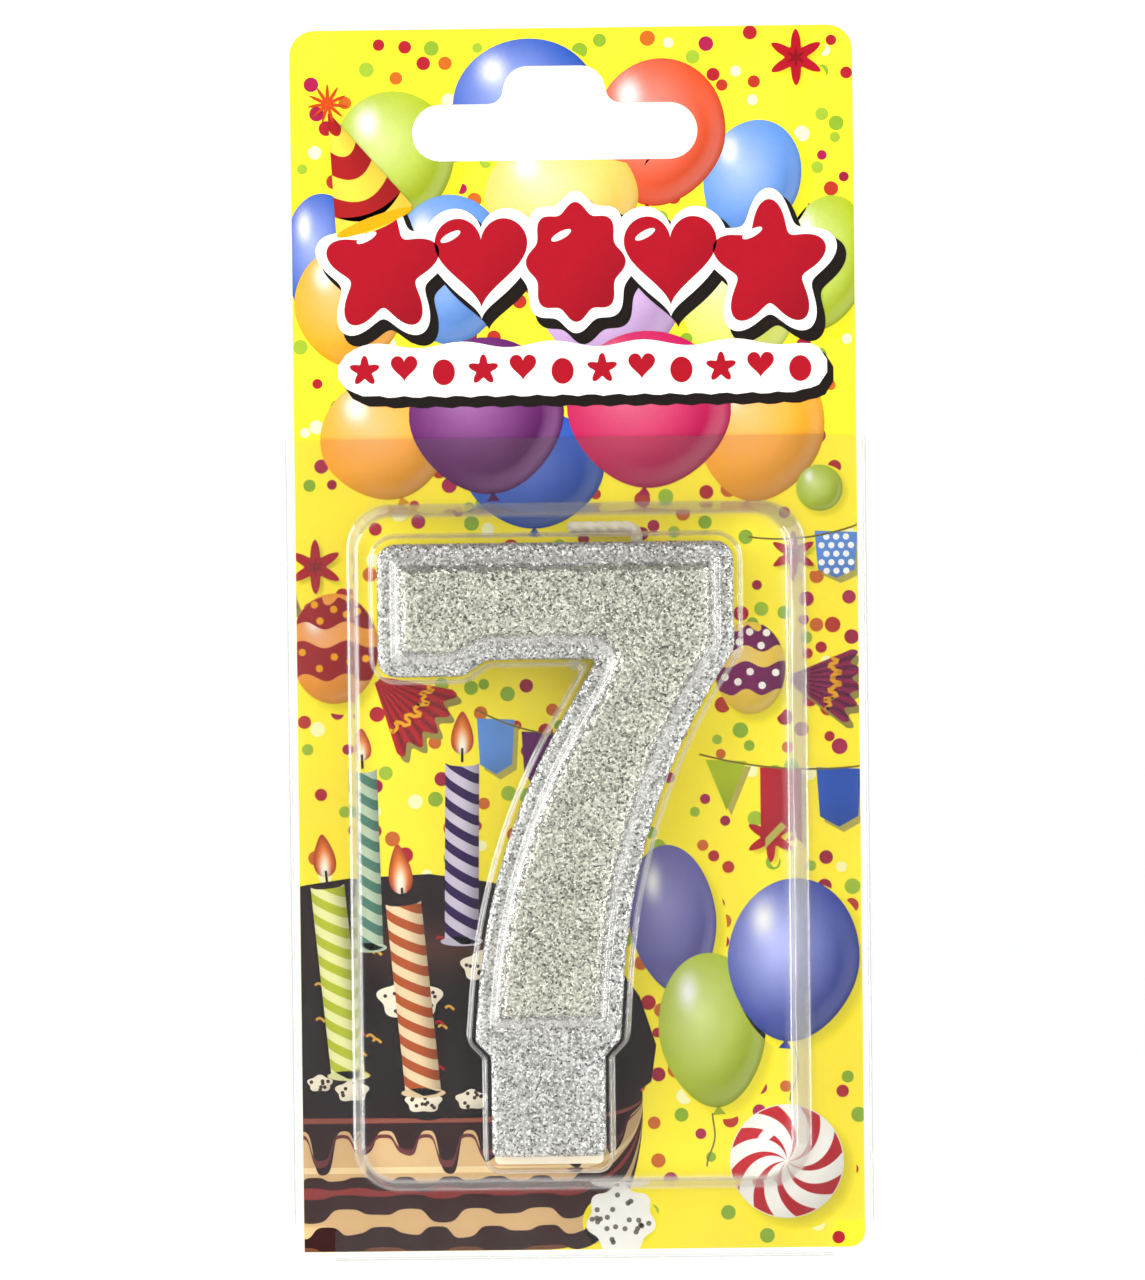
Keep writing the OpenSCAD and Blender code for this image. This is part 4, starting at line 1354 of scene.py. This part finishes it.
# Each lamp's name, place, size, power in watts and colour
LAMPS = (
    ("key_softbox", (-0.55, -0.95, 0.55), (0.7, 0.7), 5.2, (1.0, 0.99, 0.97)),
    ("fill_softbox", (0.8, -0.9, 0.15), (0.8, 0.9), 2.2, (0.97, 0.98, 1.0)),
    ("left_strip", (-0.7, -0.16, -0.04), (0.34, 0.8), 5.5, (1, 1, 1)),
    ("right_strip", (0.7, -0.12, -0.04), (0.08, 0.8), 3.2, (1, 1, 1)),
    ("back_softbox", (0.3, 0.9, 0.7), (0.8, 0.8), 3, (1, 1, 1)),
)


def softbox(name, place, aim, size, power, colour):
    """An area light at a place, turned to face a point."""
    lamp = bpy.data.lights.new(name, "AREA")
    lamp.shape, lamp.energy, lamp.color = "RECTANGLE", power, colour
    lamp.size, lamp.size_y = size
    holder = bpy.data.objects.new(name, lamp)
    holder.location = place
    holder.rotation_euler = (Vector(aim) - Vector(place)).to_track_quat("-Z", "Y").to_euler()
    holder.visible_camera = False
    bpy.context.scene.collection.objects.link(holder)
    return holder


def make_camera(look):
    """Camera on a line from its aim, at the given azimuth and elevation, rolled a little."""
    data = bpy.data.cameras.new("front_camera")
    holder = bpy.data.objects.new("front_camera", data)
    az, el, roll = (math.radians(v) for v in (look.azimuth, look.elevation, look.roll))
    back = Vector((math.sin(az) * math.cos(el), -math.cos(az) * math.cos(el), math.sin(el)))
    aim = Vector((look.aim_x * MM, 0, look.aim_z * MM))
    holder.location = aim + back * look.distance
    right = (-back).cross(Vector((0, 0, 1))).normalized()
    up = right.cross(-back)
    across = right * math.cos(roll) + up * math.sin(roll)
    over = up * math.cos(roll) - right * math.sin(roll)
    holder.rotation_mode = "QUATERNION"
    holder.rotation_quaternion = Matrix((across, over, back)).transposed().to_quaternion()
    data.sensor_fit, data.sensor_width, data.sensor_height = "AUTO", 36, 36
    data.lens = look.lens
    data.clip_start, data.clip_end = 0.01, 20
    bpy.context.scene.collection.objects.link(holder)
    bpy.context.scene.camera = holder


# ---------------------------------------------------------- the add-on part


def colour_prop(name, text, value):
    shade = tuple(float(v) for v in value)
    return FloatVectorProperty(
        name=name, description=text, subtype="COLOR", size=3, min=0, max=1, default=shade,
    )


class CardLook(PropertyGroup):
    """Sizes and colours of the printed card."""

    ground: colour_prop("Ground", "Colour of the card's printed ground", YELLOW)
    confetti: IntProperty(
        name="Confetti", description="Number of printed dots drawn",
        default=1000, min=0, max=2000,
    )
    confetti_seed: IntProperty(name="Confetti seed", description="Seed of the dots' places", default=7)


class SheetLook(PropertyGroup):
    """Sizes and finish of the clear blister."""

    thickness: FloatProperty(
        name="Thickness", description="Thickness of the clear sheet in millimetres",
        default=0.3, min=0.15, max=0.5,
    )
    haze: FloatProperty(
        name="Haze", description="Share of light that the sheet scatters",
        default=0.007, min=0, max=0.3, subtype="FACTOR",
    )
    edge_tint: colour_prop("Edge tint", "Colour of light that runs along in the sheet", (0.55, 0.5, 0.42))


class CandleLook(PropertyGroup):
    """Sizes and colours of the glitter, the wax and the wick."""

    flake: FloatProperty(
        name="Flake size", description="Width of one glitter cell in millimetres",
        default=0.21, min=0.1, max=0.8,
    )
    flakes: IntProperty(
        name="Loose flakes", description="Number of loose flakes drawn on the front",
        default=7000, min=0, max=14000,
    )
    tilt: FloatProperty(
        name="Flake tilt", description="How far the flakes lie out of the surface",
        default=1.0, min=0, max=2,
    )
    bare_foot: FloatProperty(
        name="Bare foot", description="Height of wax left bare at the foot in millimetres",
        default=1.0, min=0.3, max=3,
    )
    rim: colour_prop("Rim", "Colour of the glitter on the rim", (0.97, 0.965, 0.94))
    panel: colour_prop("Panel", "Colour of the glitter on the raised panel", (0.96, 0.945, 0.81))
    wax: colour_prop("Wax", "Colour of the wax", (0.86, 0.76, 0.58))
    cotton: colour_prop("Cotton", "Colour of the wick", (0.93, 0.87, 0.74))
    twist: FloatProperty(
        name="Twist", description="Turn of the wick's strands for each millimetre, in radians",
        default=1.5, min=0, max=4,
    )


class StageLook(PropertyGroup):
    """Camera, lights and floor."""

    floor: colour_prop("Floor", "Colour of the floor", (0.93, 0.93, 0.925))
    light: FloatProperty(name="Light", description="Share of full lamp power", default=1.0, min=0, max=4)
    azimuth: FloatProperty(
        name="Azimuth", description="Camera's direction in degrees, from the front towards the right",
        default=0.5,
    )
    elevation: FloatProperty(name="Elevation", description="Camera's height angle in degrees", default=1.0)
    roll: FloatProperty(name="Roll", description="Camera's roll in degrees", default=-0.68)
    distance: FloatProperty(
        name="Distance", description="Camera's distance",
        default=0.7, unit="LENGTH", min=0.1,
    )
    lens: FloatProperty(
        name="Lens", description="Focal length in millimetres",
        default=175.5, min=20, max=600,
    )
    aim_x: FloatProperty(
        name="Aim X", description="Point that the camera looks at, in millimetres",
        default=1.33,
    )
    aim_z: FloatProperty(
        name="Aim Z", description="Point that the camera looks at, in millimetres",
        default=-56.94,
    )


class CANDLE_OT_card(Operator):
    """Give the card its board and lay its print on it"""

    bl_idname = "candle_pack.card"
    bl_label = "Printed card"

    def execute(self, context):
        look = context.scene.candle_card
        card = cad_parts["backing_card"]
        card.data.materials.clear()
        card.data.materials.append(board_material(look))
        ink = ink_material()
        for name, level, draw in (
            ("print_confetti", 0, lambda i: party_confetti(i, look)),
            ("print_sweets", 3, party_sweets),
            ("print_cake", 0, party_cake),
            ("print_balloons", 3, party_balloons),
            ("print_hat", 30, party_hat),
            ("print_title", 21, party_title),
        ):
            inks = Inks(level)
            draw(inks)
            inks.finish(name, ink)
        return {"FINISHED"}


class CANDLE_OT_blister(Operator):
    """Form the clear blister with its tray, bubble and folds"""

    bl_idname = "candle_pack.blister"
    bl_label = "Clear blister"

    def execute(self, context):
        make_blister(context.scene.candle_sheet)
        return {"FINISHED"}


class CANDLE_OT_wax(Operator):
    """Give the cast numeral its wax"""

    bl_idname = "candle_pack.wax"
    bl_label = "Wax numeral"

    def execute(self, context):
        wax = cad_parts["candle_body"]
        wax.data.materials.clear()
        wax.data.materials.append(wax_material(context.scene.candle_look))
        return {"FINISHED"}


class CANDLE_OT_glitter(Operator):
    """Coat the numeral with glitter and strew loose flakes on it"""

    bl_idname = "candle_pack.glitter"
    bl_label = "Glitter coat"

    def execute(self, context):
        make_coat(context.scene.candle_look)
        make_flakes(context.scene.candle_look)
        return {"FINISHED"}


class CANDLE_OT_wick(Operator):
    """Twist the wick and lay it over the numeral's top"""

    bl_idname = "candle_pack.wick"
    bl_label = "Wick"

    def execute(self, context):
        make_wick(context.scene.candle_look)
        return {"FINISHED"}


class CANDLE_OT_stage(Operator):
    """Set up the pale floor, the soft lights and the camera"""

    bl_idname = "candle_pack.stage"
    bl_label = "Stage"

    def execute(self, context):
        look = context.scene.candle_stage
        make_camera(look)
        make_floor(look)
        centre = (0.002, 0, -0.057)
        for name, place, size, power, colour in LAMPS:
            softbox(name, place, centre, size, power * look.light, colour)
        world = bpy.data.worlds.new("studio_world")
        world.use_nodes = True
        ground = world.node_tree.nodes["Background"]
        ground.inputs[0].default_value = (0.95, 0.97, 1.0, 1)
        ground.inputs[1].default_value = 0.22
        context.scene.world = world
        context.scene.view_settings.view_transform = "Standard"
        return {"FINISHED"}


class CANDLE_PT_panel(Panel):
    bl_label = "Carded candle"
    bl_idname = "CANDLE_PT_panel"
    bl_space_type = "VIEW_3D"
    bl_region_type = "UI"
    bl_category = "Candle"

    def draw(self, context):
        for step in STEPS:
            self.layout.operator(step.bl_idname)
        for holder, kind in HOLDERS:
            box = self.layout.box()
            for key in kind.__annotations__:
                box.prop(getattr(context.scene, holder), key)


STEPS = (
    CANDLE_OT_card, CANDLE_OT_blister, CANDLE_OT_wax,
    CANDLE_OT_glitter, CANDLE_OT_wick, CANDLE_OT_stage,
)
HOLDERS = (
    ("candle_card", CardLook), ("candle_sheet", SheetLook),
    ("candle_look", CandleLook), ("candle_stage", StageLook),
)


def register():
    for holder, kind in HOLDERS:
        bpy.utils.register_class(kind)
        setattr(bpy.types.Scene, holder, PointerProperty(type=kind))
    for kind in (*STEPS, CANDLE_PT_panel):
        bpy.utils.register_class(kind)


def unregister():
    for kind in (CANDLE_PT_panel, *STEPS[::-1]):
        bpy.utils.unregister_class(kind)
    for holder, kind in HOLDERS[::-1]:
        delattr(bpy.types.Scene, holder)
        bpy.utils.unregister_class(kind)


def main():
    register()
    pack = bpy.ops.candle_pack
    for step in (pack.stage, pack.card, pack.blister, pack.wax, pack.glitter, pack.wick):
        step()
    bpy.context.view_layer.update()
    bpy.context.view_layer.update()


if __name__ == "__main__":
    main()
